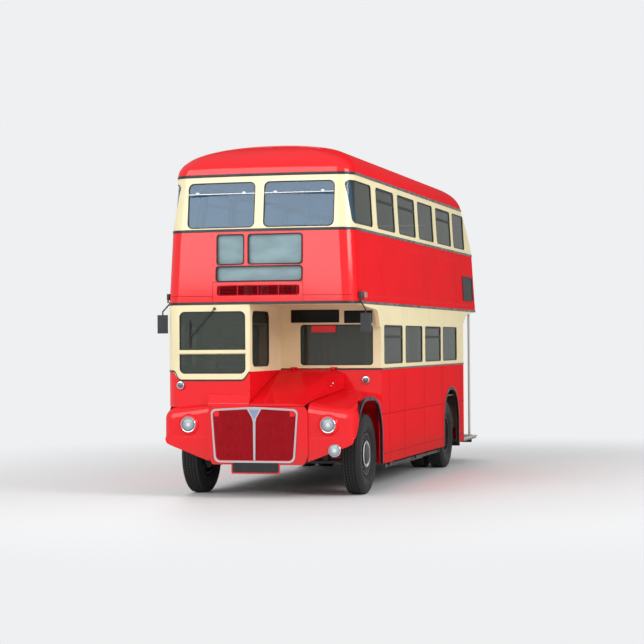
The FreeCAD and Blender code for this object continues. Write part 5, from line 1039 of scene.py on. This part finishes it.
class BUS_OT_dress_front(bpy.types.Operator):
    """Blind frames, intake dividers, number plates, saloon sign boards and bonnet fittings"""

    bl_idname = "bus.dress_front"
    bl_label = "Dress the front"

    def execute(self, context):
        self.blind_frames()
        self.intake()
        self.number_plates()
        self.valances()
        self.boards_and_bonnet()
        return {"FINISHED"}

    def blind_frames(self):
        bm = bmesh.new()
        for x0, x1, z0, z1 in ((-0.528, -0.189, 2.861, 3.220), (-0.129, 0.549, 2.861, 3.220),
                               (-0.537, 0.549, 2.653, 2.830)):
            surround(bm, rounded_outline(x0 + 0.004, x1 - 0.004, z0 + 0.004, z1 - 0.004, 0.036), 0.013,
                     lambda x, z: Vector((x, face(z) + 0.004, z)), (0, -0.009, 0))
        piece(bm, "blind_frames", "gasket", "black_plastic", rounding=0.003)
        frames, panes = bmesh.new(), bmesh.new()
        for way in (1, -1):
            def on_flank(y, z):
                return Vector((flank(z, way), y, z))

            surround(frames, rounded_outline(2.990, 3.780, 2.555, 2.899, 0.030), 0.022, on_flank,
                     (way * 0.011, 0, 0))
            plate(panes, rounded_outline(2.985, 3.785, 2.550, 2.904, 0.030), on_flank, (way * 0.003, 0, 0))
        piece(frames, "side_blind_frames", "gasket", "black_plastic", rounding=0.003)
        piece(panes, "side_blinds", "dark_blind", "blind")

    def intake(self):
        low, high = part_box("intake_grille")
        bars = [(low.x + (high.x - low.x) * i / 4, 0.0035) for i in (1, 2, 3)]
        bars += [(low.x + 0.030, 0.0025), (high.x - 0.030, 0.0025)]
        boxes("intake_dividers", "red_plain", "red_paint",
              [((x - half, low.y - 0.006, low.z + 0.006), (x + half, low.y + 0.004, high.z - 0.006))
               for x, half in bars], 0.001)

    def number_plates(self):
        plates, frames = bmesh.new(), bmesh.new()
        front = (-0.333, 0.282, 0.304, 0.470, NOSE_FACE, -1)
        rear = (-0.800, -0.280, 0.640, 0.760, REAR, 1)
        for x0, x1, z0, z1, y, way in (front, rear):
            plate(plates, rounded_outline(x0 + 0.014, x1 - 0.014, z0 + 0.014, z1 - 0.014, 0.014),
                  lambda x, z: Vector((x, y, z)), (0, way * 0.0085, 0))
            surround(frames, rounded_outline(x0 + 0.016, x1 - 0.016, z0 + 0.016, z1 - 0.016, 0.016), 0.016,
                     lambda x, z: Vector((x, y, z)), (0, way * 0.0115, 0))
        for x in (-0.22, 0.17):
            block(plates, (x - 0.02, NOSE_FACE + 0.001, 0.400), (x + 0.02, NOSE_FACE + 0.014, 0.452))
        piece(plates, "number_plates", "plate", "black_plastic", rounding=0.001)
        piece(frames, "plate_frames", "red_plain", "red_paint", rounding=0.003)

    def valances(self):
        """Panels that carry the wings' lower edges in to the nose."""
        wing_face = -4.1615
        bm = bmesh.new()
        for side in (-1, 1):
            edge = ((0.622, 0.450), (0.760, 0.500), (0.900, 0.556), (1.030, 0.605), (1.130, 0.643),
                    (1.180, 0.672), (1.196, 0.712), (1.190, 0.752), (0.622, 0.752))
            plate(bm, [(side * x, z) for x, z in edge], lambda x, z: Vector((x, wing_face, z)), (0, 0.032, 0))
        piece(bm, "wing_valances", "red_plain", "red_paint", rounding=0.007)

    def boards_and_bonnet(self):
        boxes("saloon_head_panels", "dark_blind", "blind",
              [((0.030, BULKHEAD - 0.010, 2.150), (0.670, BULKHEAD + 0.001, 2.315)),
               ((0.735, BULKHEAD - 0.008, 2.140), (1.105, BULKHEAD + 0.001, 2.300))], 0.012)
        boxes("notice_board", "red_plain", "red_paint",
              [((0.300, BULKHEAD - 0.003, 2.025), (0.620, BULKHEAD + 0.019, 2.112))], 0.003)
        bm = bmesh.new()
        x, y, z = 0.700, -3.300, 1.352
        pipe(bm, [(x, y - 0.055, z), (x + 0.018, y - 0.050, z + 0.002), (x + 0.020, y + 0.050, z + 0.030),
                  (x, y + 0.055, z + 0.030)], 0.006, 10)
        piece(bm, "bonnet_handle", "chrome", "chrome", body="bonnet")


# ------------------------------------------------------------------ lamps
# Sections of the lamps' turned pieces, each point as (radius, along)
HEAD_CONE = ((0.094, 0.012), (0.099, 0.010), (0.108, 0.012), (0.120, 0.022), (0.129, 0.036), (0.129, 0.050),
             (0.094, 0.050))
HEAD_RING = ((0.0835, 0.006), (0.086, 0.002), (0.091, 0.001), (0.0945, 0.004), (0.0955, 0.012),
             (0.0955, 0.020), (0.0835, 0.020))
HEAD_GLASS = ((0.0, 0.0005), (0.030, 0.002), (0.060, 0.006), (0.0835, 0.013), (0.0835, 0.020), (0.0, 0.020))
FOG_RING = ((0.0665, 0.006), (0.069, 0.001), (0.074, 0.001), (0.078, 0.006), (0.078, 0.014), (0.070, 0.028),
            (0.0665, 0.030))
FOG_GLASS = ((0.0, 0.001), (0.030, 0.002), (0.055, 0.005), (0.0665, 0.009), (0.0665, 0.030), (0.0, 0.030))
SIDE_RING = ((0.033, 0.006), (0.036, 0.000), (0.045, 0.001), (0.052, 0.010), (0.053, 0.030), (0.033, 0.030))
SIDE_GLASS = ((0.0, 0.000), (0.018, 0.001), (0.033, 0.006), (0.033, 0.030), (0.0, 0.030))
TAIL_RING = ((0.038, -0.004), (0.041, 0.0), (0.046, -0.001), (0.049, -0.008), (0.049, -0.040),
             (0.038, -0.040))
TAIL_GLASS = ((0.0, -0.0005), (0.020, -0.001), (0.038, -0.006), (0.038, -0.040), (0.0, -0.040))


class BUS_OT_fit_lamps(bpy.types.Operator):
    """Headlamps in red cones, fog lamp, side lamps, tail lamps and indicator arms"""

    bl_idname = "bus.fit_lamps"
    bl_label = "Fit the lamps"

    def execute(self, context):
        cones, rings, lenses = bmesh.new(), bmesh.new(), bmesh.new()
        for side in (-1, 1):
            centre = Vector((side * HEADLAMP[0], NOSE, HEADLAMP[1]))
            turned(cones, HEAD_CONE, centre, ALONG, closed=True)
            turned(rings, HEAD_RING, centre, ALONG, closed=True)
            turned(lenses, HEAD_GLASS, centre, ALONG)
        cone = piece(cones, "headlamp_cones", "red_plain", "red_paint")
        piece(rings, "headlamp_rings", "chrome", "chrome")
        piece(lenses, "headlamp_lenses", "lens", "lamp_glass")
        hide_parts("headlamps")
        self.small_lamps()
        self.indicators()
        return {"FINISHED"}

    def small_lamps(self):
        rings, fog, smoke, tails = bmesh.new(), bmesh.new(), bmesh.new(), bmesh.new()
        for glass, ring, section, steps, x, y, z in (
                (fog, FOG_RING, FOG_GLASS, 48, FOG_LAMP[0], NOSE + 0.0035, FOG_LAMP[1]),
                (smoke, SIDE_RING, SIDE_GLASS, 36, -1.014, FRONT + 0.022, 1.379),
                (smoke, SIDE_RING, SIDE_GLASS, 36, 1.018, BULKHEAD - 0.030, 1.413),
                (tails, TAIL_RING, TAIL_GLASS, 36, -0.960, REAR + 0.0120, 0.900),
                (tails, TAIL_RING, TAIL_GLASS, 36, -0.960, REAR + 0.0120, 1.120)):
            turned(rings, ring, Vector((x, y, z)), ALONG, steps, closed=True)
            turned(glass, section, Vector((x, y, z)), ALONG, steps)
        ring = piece(rings, "small_lamp_rings", "chrome", "chrome")
        piece(fog, "fog_lamp_lens", "lens", "lamp_glass")
        piece(smoke, "side_lamp_lenses", "smoke_lens", "lamp_glass")
        piece(tails, "tail_lenses", "red_lens", "lamp_glass")
        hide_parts("small_lamps")

    def indicators(self):
        """A black arm with an amber box lens on each front corner of the upper deck."""
        arms, lenses = bmesh.new(), bmesh.new()
        for side in (-1, 1):
            block(arms, (side * 1.2135, -3.930, 2.434), (side * 1.246, -3.838, 2.512))
            block(arms, (side * 1.2135, -3.840, 2.428), (side * 1.236, -3.650, 2.518))
            block(lenses, (side * 1.230, -3.832, 2.436), (side * 1.260, -3.658, 2.510))
            pipe(arms, [(side * 1.235, -3.905, 2.434), (side * 1.240, -3.905, 2.400)], 0.010)
        piece(arms, "indicator_arms", "plastic", "black_plastic", rounding=0.005)
        piece(lenses, "indicator_lenses", "amber_lens", "lamp_glass", rounding=0.008)


# ------------------------------------------------------------------ wheels
# (radius, along) up a tyre's sidewall, and the tread grooves' places along the axle
WALL = ((0.2625, 0.064), (0.266, 0.077), (0.280, 0.088), (0.300, 0.099), (0.303, 0.104), (0.311, 0.105),
        (0.314, 0.104), (0.334, 0.1135), (0.358, 0.1190), (0.380, 0.1215), (0.400, 0.1215), (0.420, 0.1195),
        (0.422, 0.1215), (0.432, 0.1200), (0.436, 0.1165), (0.455, 0.1120), (0.458, 0.1135), (0.474, 0.1085),
        (0.488, 0.1000))
GROOVES = (0.057, 0.019, -0.019, -0.057)


def tyre_profile():
    """(radius, along) round a tyre's section, with four tread grooves."""
    crown = [(0.4955, 0.090)]
    for g in GROOVES:
        r = TYRE_RADIUS - 0.0005 - 0.0035 * (abs(g) / 0.09) ** 2
        crown += [(r, g + 0.0075), (r - 0.011, g + 0.0045), (r - 0.011, g - 0.0045), (r, g - 0.0075)]
    crown.append((0.4955, -0.090))
    return list(WALL) + crown + [(r, -a) for r, a in reversed(WALL)]


def tyre(bm, centre):
    """One tyre: a spun section whose groove edges zigzag and whose shoulders are notched."""
    start = set(bm.verts)
    turned(bm, tyre_profile(), centre, (1, 0, 0), steps=2 * sizes().tread_blocks, closed=True)
    new = [v for v in bm.verts if v not in start]
    pitch = math.pi / sizes().tread_blocks
    for v in new:
        y, z, along = v.co.y - centre.y, v.co.z - centre.z, v.co.x - centre.x
        radius = math.hypot(y, z)
        turn = round(math.atan2(z, y) / pitch)
        if radius > 0.485 and abs(along) < 0.075:
            v.co.x += 0.0045 if turn % 2 else -0.0045
        elif radius > 0.487 and turn % 2 and abs(along) > 0.095:
            v.co.x -= math.copysign(0.004, along)


class BUS_OT_fit_tyres(bpy.types.Operator):
    """Six tyres with a zigzag tread and ribbed sidewalls"""

    bl_idname = "bus.fit_tyres"
    bl_label = "Fit the tyres"

    def execute(self, context):
        for side, word in ((1, "nearside"), (-1, "offside")):
            bm = bmesh.new()
            tyre(bm, Vector((side * FRONT_AXLE.x, FRONT_AXLE.y, FRONT_AXLE.z)))
            front = piece(bm, "front_tread_" + word, "tyre", "tyre", body="front_wheel_" + word, sharp=30)
            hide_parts("front_tyre_" + word)
            bm = bmesh.new()
            for shift in (-TWIN, TWIN):
                tyre(bm, Vector((side * REAR_AXLE.x + shift, REAR_AXLE.y, REAR_AXLE.z)))
            rear = piece(bm, "rear_treads_" + word, "tyre", "tyre", body="rear_wheels_" + word, sharp=30)
            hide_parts("rear_tyres_" + word)
        return {"FINISHED"}


# (radius, along) of the front hub's polished ring and cap
HUB_RING = ((0.122, 0.000), (0.128, 0.030), (0.140, 0.044), (0.158, 0.050), (0.166, 0.046), (0.168, 0.040),
            (0.160, 0.043), (0.144, 0.037), (0.134, 0.024), (0.129, 0.000))
HUB_CAP = ((0.0, 0.066), (0.030, 0.066), (0.046, 0.061), (0.056, 0.050), (0.060, 0.036), (0.0, 0.036))


def spots_round(centre, radius, count, first=0.0):
    """Points on an upright circle along the bus, first is the share of a step that they start at."""
    for i in range(count):
        angle = 2 * math.pi * (i + first) / count
        yield centre + Vector((0, radius * math.cos(angle), radius * math.sin(angle)))


def stud(bm, spot, radius, depth, sides=6):
    """A nut or pin whose axis lies across the bus."""
    place = Matrix.Translation(spot) @ Matrix.Rotation(math.pi / 2, 4, "Y")
    bmesh.ops.create_cone(bm, cap_ends=True, segments=sides, radius1=radius, radius2=radius, depth=depth,
                          matrix=place)


class BUS_OT_dress_wheels(bpy.types.Operator):
    """Wheel nuts, polished front hub rings and hub caps"""

    bl_idname = "bus.dress_wheels"
    bl_label = "Dress the wheels"

    def execute(self, context):
        nuts = sizes().wheel_nuts
        for side, word in ((1, "nearside"), (-1, "offside")):
            out = Vector((side, 0, 0))
            centre = Vector((side * HUB_FACE, FRONT_AXLE.y, FRONT_AXLE.z))
            bm = bmesh.new()
            for spot in spots_round(centre, NUT_CIRCLE, nuts, 0.5):
                stud(bm, spot + 0.009 * out, 0.017, 0.018)
                stud(bm, spot + 0.023 * out, 0.00935, 0.010, 10)
            piece(bm, "front_nuts_" + word, "cast", "wheel_metal", body="front_wheel_" + word, rounding=0.001)
            bm = bmesh.new()
            turned(bm, HUB_RING, centre, out, steps=64, closed=True)
            turned(bm, HUB_CAP, centre, out)
            for spot in spots_round(centre + 0.0450 * out, 0.076, 8):
                stud(bm, spot, 0.009, 0.016)
            piece(bm, "front_hub_" + word, "hub", "chrome", body="front_wheel_" + word)
            bm = bmesh.new()
            centre = Vector((side * REAR_NUT_FACE, REAR_AXLE.y, REAR_AXLE.z))
            for spot in spots_round(centre, NUT_CIRCLE, nuts, 0.5):
                stud(bm, spot, 0.017, 0.022)
            piece(bm, "rear_nuts_" + word, "cast", "wheel_metal", body="rear_wheels_" + word, rounding=0.001)
        return {"FINISHED"}


# ------------------------------------------------------------------ inside
def puffed(name, half, puff):
    """A stuffed pad of the half sizes, blown up as cloth and returned as mesh data about the origin."""
    bm = bmesh.new()
    bmesh.ops.create_cube(bm, size=2.0, matrix=Matrix.Diagonal((half[0], half[1], half[2], 1)))
    bmesh.ops.bevel(bm, geom=bm.edges[:], offset=min(half) * 0.75, affect="EDGES", segments=4, profile=0.5,
                    material=-1)
    mesh = bpy.data.meshes.new(name)
    bm.to_mesh(mesh)
    bm.free()
    obj = bpy.data.objects.new(name, mesh)
    scene = bpy.context.scene
    scene.collection.objects.link(obj)
    remesh = obj.modifiers.new("grain", "REMESH")
    remesh.mode, remesh.voxel_size = "VOXEL", sizes().cushion_cell
    start = applied(obj)
    mesh = start.copy()
    frames = 20
    obj.modifiers.clear()
    obj.data = start
    cloth = obj.modifiers.new("stuffing", "CLOTH")
    cloth.settings.quality = 4
    cloth.settings.mass = 0.3
    cloth.settings.use_pressure = True
    cloth.settings.uniform_pressure_force = 4.0
    cloth.settings.effector_weights.gravity = 0.0
    cloth.settings.tension_stiffness = cloth.settings.compression_stiffness = 20.0
    cloth.point_cache.frame_start, cloth.point_cache.frame_end = 1, frames
    for number in range(1, frames + 1):
        scene.frame_set(number)
    blown = applied(obj)
    scene.frame_set(1)
    for i, v in enumerate(mesh.vertices):
        move = blown.vertices[i].co - v.co
        if move.length > puff:
            move *= puff / move.length
        v.co = v.co + move
    bpy.data.objects.remove(obj)
    return mesh


def applied(obj):
    """The object's mesh with its modifiers applied."""
    view = bpy.context.evaluated_depsgraph_get()
    view.update()
    return bpy.data.meshes.new_from_object(obj.evaluated_get(view))


def sewn(bm, lines, across, depth, width):
    """Presses sewn channels into a pad along lines at the given places on an axis."""
    for v in bm.verts:
        for line in lines:
            off = (v.co[across] - line) / width
            if abs(off) < 3:
                v.co += -v.normal * depth * math.exp(-off * off)


def pads(name, seats, body, finish, slot):
    """One object of many pads: seats lists (mesh, matrix)."""
    bm = bmesh.new()
    for mesh, place in seats:
        before = len(bm.verts)
        bm.from_mesh(mesh)
        bm.verts.ensure_lookup_table()
        bmesh.ops.transform(bm, matrix=place, verts=bm.verts[before:])
    obj = piece(bm, name, finish, slot, body=body, sharp=80)
    return obj


class BUS_OT_upholster(bpy.types.Operator):
    """Stuffed cushions and squabs for both decks and the driver"""

    bl_idname = "bus.upholster"
    bl_label = "Upholster the seats"

    def execute(self, context):
        cushion = self.channelled("cushion", (0.412, 0.198, 0.044), 0.010, (0.0,), 0.010)
        squab = self.channelled("squab", (0.412, 0.030, 0.222), 0.010, (0.0,), 0.008)
        bench = self.channelled("bench", (0.152, 0.590, 0.036), 0.008, (-0.30, 0.0, 0.30), 0.008, axis=1)
        back = self.channelled("bench_back", (0.022, 0.590, 0.168), 0.006, (-0.30, 0.0, 0.30), 0.006, axis=1)
        recline = Matrix.Rotation(-math.atan2(0.095, 0.500), 4, "X")
        bench_length, bench_inner = 0.9, 0.694
        for deck in ("lower", "upper"):
            for side in (-1, 1):
                seats = []
                for low, high in self.places(deck + "_seats"):
                    if (low.x + high.x) * side < 0:
                        continue
                    middle = (low + high) / 2
                    if high.y - low.y > bench_length:
                        inner, tip = side * bench_inner, Matrix.Rotation(side * 0.09, 4, "Y")
                        place = Matrix.Translation((inner + side * 0.178, middle.y, low.z + 0.052))
                        seats.append((bench, place))
                        place = Matrix.Translation((inner + side * 0.416, middle.y, low.z + 0.285))
                        seats.append((back, place @ tip))
                        continue
                    seats.append((cushion, Matrix.Translation((middle.x, low.y + 0.212, low.z + 0.057))))
                    place = Matrix.Translation((middle.x, low.y + 0.4915, low.z + 0.356))
                    seats.append((squab, place @ recline))
                word = "nearside" if side > 0 else "offside"
                pads("%s_cushions_%s" % (deck, word), seats, "body", "cloth", "seat_cloth")
            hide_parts(deck + "_seats")
        self.driver()
        return {"FINISHED"}

    def channelled(self, name, half, puff, lines, depth, axis=0):
        """A puffed pad with sewn channels across an axis."""
        mesh = puffed(name, half, puff)
        bm = bmesh.new()
        bm.from_mesh(mesh)
        bm.normal_update()
        sewn(bm, lines, axis, depth, 0.016)
        bm.to_mesh(mesh)
        bm.free()
        return mesh

    def places(self, node):
        """Box of each seat in a built node."""
        bm = bmesh.new()
        bm.from_mesh(NODES[node].data)
        bmesh.ops.remove_doubles(bm, verts=bm.verts[:], dist=2e-5)
        boxes = []
        for group in islands(bm):
            verts = [v.co for f in group for v in f.verts]
            boxes.append((Vector([min(c[i] for c in verts) for i in range(3)]),
                          Vector([max(c[i] for c in verts) for i in range(3)])))
        bm.free()
        return sorted(boxes, key=lambda b: (b[0].y, b[0].x))

    def driver(self):
        low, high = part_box("driver_seat")
        cushion = self.channelled("driver_cushion", (0.212, 0.188, 0.040), 0.009, (-0.07, 0.07), 0.007)
        squab = self.channelled("driver_squab", (0.212, 0.028, 0.205), 0.009, (-0.07, 0.07), 0.007)
        recline = Matrix.Rotation(-math.atan2(0.100, 0.450), 4, "X")
        middle = (low.x + high.x) / 2
        seats = [(cushion, Matrix.Translation((middle, low.y + 0.205, low.z + 0.382))),
                 (squab, Matrix.Translation((middle, low.y + 0.462, low.z + 0.660)) @ recline)]
        obj = pads("driver_cushions", seats, "body", "hide", "seat_cloth")
        bm = bmesh.new()
        turned(bm, ((0.0, 0.0), (0.075, 0.0), (0.075, 0.010), (0.030, 0.030), (0.030, 0.300), (0.070, 0.325),
                    (0.0, 0.325)), Vector((middle, -3.140, low.z)), UP, steps=32)
        block(bm, (middle - 0.19, low.y + 0.04, low.z + 0.325), (middle + 0.19, low.y + 0.380, low.z + 0.337))
        block(bm, (middle - 0.17, low.y + 0.470, low.z + 0.440),
              (middle + 0.17, low.y + 0.486, low.z + 0.820), recline)
        piece(bm, "driver_seat_base", "chassis", "dark_paint", rounding=0.003)
        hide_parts("driver_seat")


class BUS_OT_fit_saloon(bpy.types.Operator):
    """Platform slats, nosings and riser, pole flanges and ceiling lamps"""

    bl_idname = "bus.fit_saloon"
    bl_label = "Fit the saloon"

    def execute(self, context):
        low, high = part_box("platform_floor")
        slats = [-1.05 + 2.16 * i / 25 for i in range(26)]
        boxes("platform_slats", "slats", "floor_wood",
              [((x - 0.020, low.y + 0.050, high.z), (x + 0.020, high.y - 0.080, high.z + 0.007))
               for x in slats], 0.002)
        boxes("platform_nosing", "nosing", "dark_paint",
              [((HALF_WIDTH - 0.060, low.y + 0.010, high.z - 0.020),
                (HALF_WIDTH + 0.003, high.y - 0.130, high.z + 0.006)),
               ((0.200, high.y - 0.062, high.z - 0.020), (1.060, high.y + 0.003, high.z + 0.006))], 0.004)
        floor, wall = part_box("lower_floor")[0].z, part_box("bulkheads")[1]
        ribs = [(i / 3 - 1) * (wall.x - 0.060) for i in range(7)]
        boxes("platform_riser", "red_plain", "red_paint",
              [((0.001 - wall.x, wall.y - 0.017, high.z), (wall.x - 0.001, wall.y - 0.001, floor))]
              + [((x - 0.016, wall.y - 0.004, high.z + 0.012), (x + 0.016, wall.y + 0.003, floor - 0.012))
                 for x in ribs], 0.002)
        bm = bmesh.new()
        flange = ((0.0165, 0.0), (0.036, 0.0), (0.036, 0.004), (0.024, 0.012), (0.0165, 0.030))
        for x, y in ((0.270, -2.0275), (-0.270, -0.5575), (-0.270, 0.9025), (0.270, 0.9025)):
            for z, way in ((0.610, 1), (2.365, -1)):
                turned(bm, flange, Vector((x, y, z)), (0, 0, way), steps=24, closed=True)
        piece(bm, "pole_flanges", "rail", "rail_metal")
        bm = bmesh.new()
        for x in (-0.62, 0.62):
            for i in range(5):
                turned(bm, [(0.0, 0.030), (0.050, 0.026), (0.066, 0.010), (0.070, 0.0), (0.0, 0.0)],
                       Vector((x, -2.10 + 1.05 * i, 2.364)), (0, 0, -1), steps=20)
        piece(bm, "ceiling_lamps", "lens", "lamp_glass")
        return {"FINISHED"}


# ------------------------------------------------------------------ stage
BACKDROP = (0.86, 0.87, 0.88, 1)


def rays_seen(tree):
    """1 for rays that come from the camera, off gloss or through glass, 0 for those that only light."""
    path = tree.nodes.new("ShaderNodeLightPath")
    total = path.outputs["Is Camera Ray"]
    for kind in ("Is Glossy Ray", "Is Transmission Ray"):
        node = tree.nodes.new("ShaderNodeMath")
        node.operation, node.use_clamp = "ADD", True
        tree.links.new(total, node.inputs[0])
        tree.links.new(path.outputs[kind], node.inputs[1])
        total = node.outputs[0]
    return total


class BUS_OT_set_stage(bpy.types.Operator):
    """Pale floor, soft lights and the camera"""

    bl_idname = "bus.set_stage"
    bl_label = "Set the stage"

    def execute(self, context):
        self.floor()
        self.world()
        for name, place, aim, size, power in (
                ("key", (-6.0, -20.0, 10.0), (0, -3.0, 2.4), (17.0, 12.0), 2350.0),
                ("fill", (16.0, -9.0, 9.0), (0.5, -0.5, 2.0), (9.0, 8.0), 1900.0),
                ("back", (-8.0, 15.0, 9.0), (0, 2.0, 2.5), (8.0, 6.0), 450.0)):
            self.lamp(name, Vector(place), Vector(aim), size, power)
        data = bpy.data.cameras.new("camera")
        data.lens, data.sensor_width, data.sensor_fit = 105.58, 36.0, "HORIZONTAL"
        data.clip_end = 400.0
        camera = bpy.data.objects.new("camera", data)
        swing, tilt, roll = 0.259, 0.011, -0.007
        turn = (Matrix.Rotation(swing, 4, "Z") @ Matrix.Rotation(math.pi / 2 + tilt, 4, "X")
                @ Matrix.Rotation(roll, 4, "Z"))
        camera.matrix_world = Matrix.Translation((6.642, -26.16, 1.891)) @ turn
        context.scene.collection.objects.link(camera)
        context.scene.camera = camera
        context.scene.view_settings.view_transform = "Standard"
        return {"FINISHED"}

    def lamp(self, name, place, aim, size, power):
        data = bpy.data.lights.new(name, "AREA")
        data.shape, data.size, data.size_y, data.energy = "RECTANGLE", size[0], size[1], power
        lamp = bpy.data.objects.new(name, data)
        turn = (aim - place).to_track_quat("-Z", "Y").to_matrix().to_4x4()
        lamp.matrix_world = Matrix.Translation(place) @ turn
        bpy.context.scene.collection.objects.link(lamp)

    def floor(self):
        bm = bmesh.new()
        bmesh.ops.create_circle(bm, cap_ends=True, segments=96, radius=90.0)
        mesh = bpy.data.meshes.new("floor")
        bm.to_mesh(mesh)
        bm.free()
        floor = bpy.data.objects.new("floor", mesh)
        bpy.context.scene.collection.objects.link(floor)
        f = Finish("studio_floor", {"Specular IOR Level": 0.2})
        grain = f.noise(1.3, 4)
        f.finish(f.mix(grain, (0.76, 0.76, 0.755), (0.79, 0.79, 0.785)),
                 f.plus(0.55, grain, 0.1))
        beside = [f.maths("MAXIMUM", f.maths("SUBTRACT", f.maths("ABSOLUTE", along), half), 0.0)
                  for along, half in ((f.x, HALF_WIDTH), (f.y, -NOSE))]
        pale = f.add("ShaderNodeEmission", {0: BACKDROP, 1: 1.0})
        far = f.fade(f.reach(*beside), 0.6, 7.5)
        blend = f.add("ShaderNodeMixShader", {0: f.maths("MULTIPLY", rays_seen(f.tree), far),
                                              1: f.shader.outputs[0], 2: pale.outputs[0]})
        f.tree.links.new(blend.outputs[0], f.tree.nodes["Material Output"].inputs[0])
        mesh.materials.append(f.material)

    def world(self):
        world = bpy.data.worlds.new("studio")
        bpy.context.scene.world = world
        world.use_nodes = True
        nodes, links = world.node_tree.nodes, world.node_tree.links
        nodes.clear()
        output = nodes.new("ShaderNodeOutputWorld")
        soft = nodes.new("ShaderNodeBackground")
        soft.inputs[0].default_value, soft.inputs[1].default_value = (0.93, 0.96, 1.0, 1), 0.55
        seen = nodes.new("ShaderNodeBackground")
        seen.inputs[0].default_value, seen.inputs[1].default_value = BACKDROP, 1.0
        blend = nodes.new("ShaderNodeMixShader")
        links.new(rays_seen(world.node_tree), blend.inputs[0])
        links.new(soft.outputs[0], blend.inputs[1])
        links.new(seen.outputs[0], blend.inputs[2])
        links.new(blend.outputs[0], output.inputs[0])


OPERATORS = (BUS_OT_paint_coachwork, BUS_OT_fit_beads, BUS_OT_fit_strips, BUS_OT_glaze, BUS_OT_edge_arches,
             BUS_OT_dress_grille, BUS_OT_dress_front, BUS_OT_fit_lamps, BUS_OT_fit_tyres, BUS_OT_dress_wheels,
             BUS_OT_upholster, BUS_OT_fit_saloon, BUS_OT_set_stage)


class BUS_PT_panel(bpy.types.Panel):
    """Lists the pieces of the bus and their sizes"""

    bl_idname = "BUS_PT_panel"
    bl_label = "Half-cab bus"
    bl_space_type = "VIEW_3D"
    bl_region_type = "UI"
    bl_category = "Bus"

    def draw(self, context):
        for group in (context.scene.bus_sizes, context.scene.bus_colours):
            for name in type(group).__annotations__:
                self.layout.prop(group, name)
        for operator in OPERATORS:
            self.layout.operator(operator.bl_idname)


CLASSES = (BusSizes, BusColours) + OPERATORS + (BUS_PT_panel,)


def register():
    for item in CLASSES:
        bpy.utils.register_class(item)
    bpy.types.Scene.bus_sizes = PointerProperty(type=BusSizes)
    bpy.types.Scene.bus_colours = PointerProperty(type=BusColours)


def unregister():
    del bpy.types.Scene.bus_colours
    del bpy.types.Scene.bus_sizes
    for item in reversed(CLASSES):
        bpy.utils.unregister_class(item)


def main():
    """Builds every piece in order."""
    register()
    for operator in OPERATORS:
        group, name = operator.bl_idname.split(".")
        getattr(getattr(bpy.ops, group), name)()


if __name__ == "__main__":
    main()
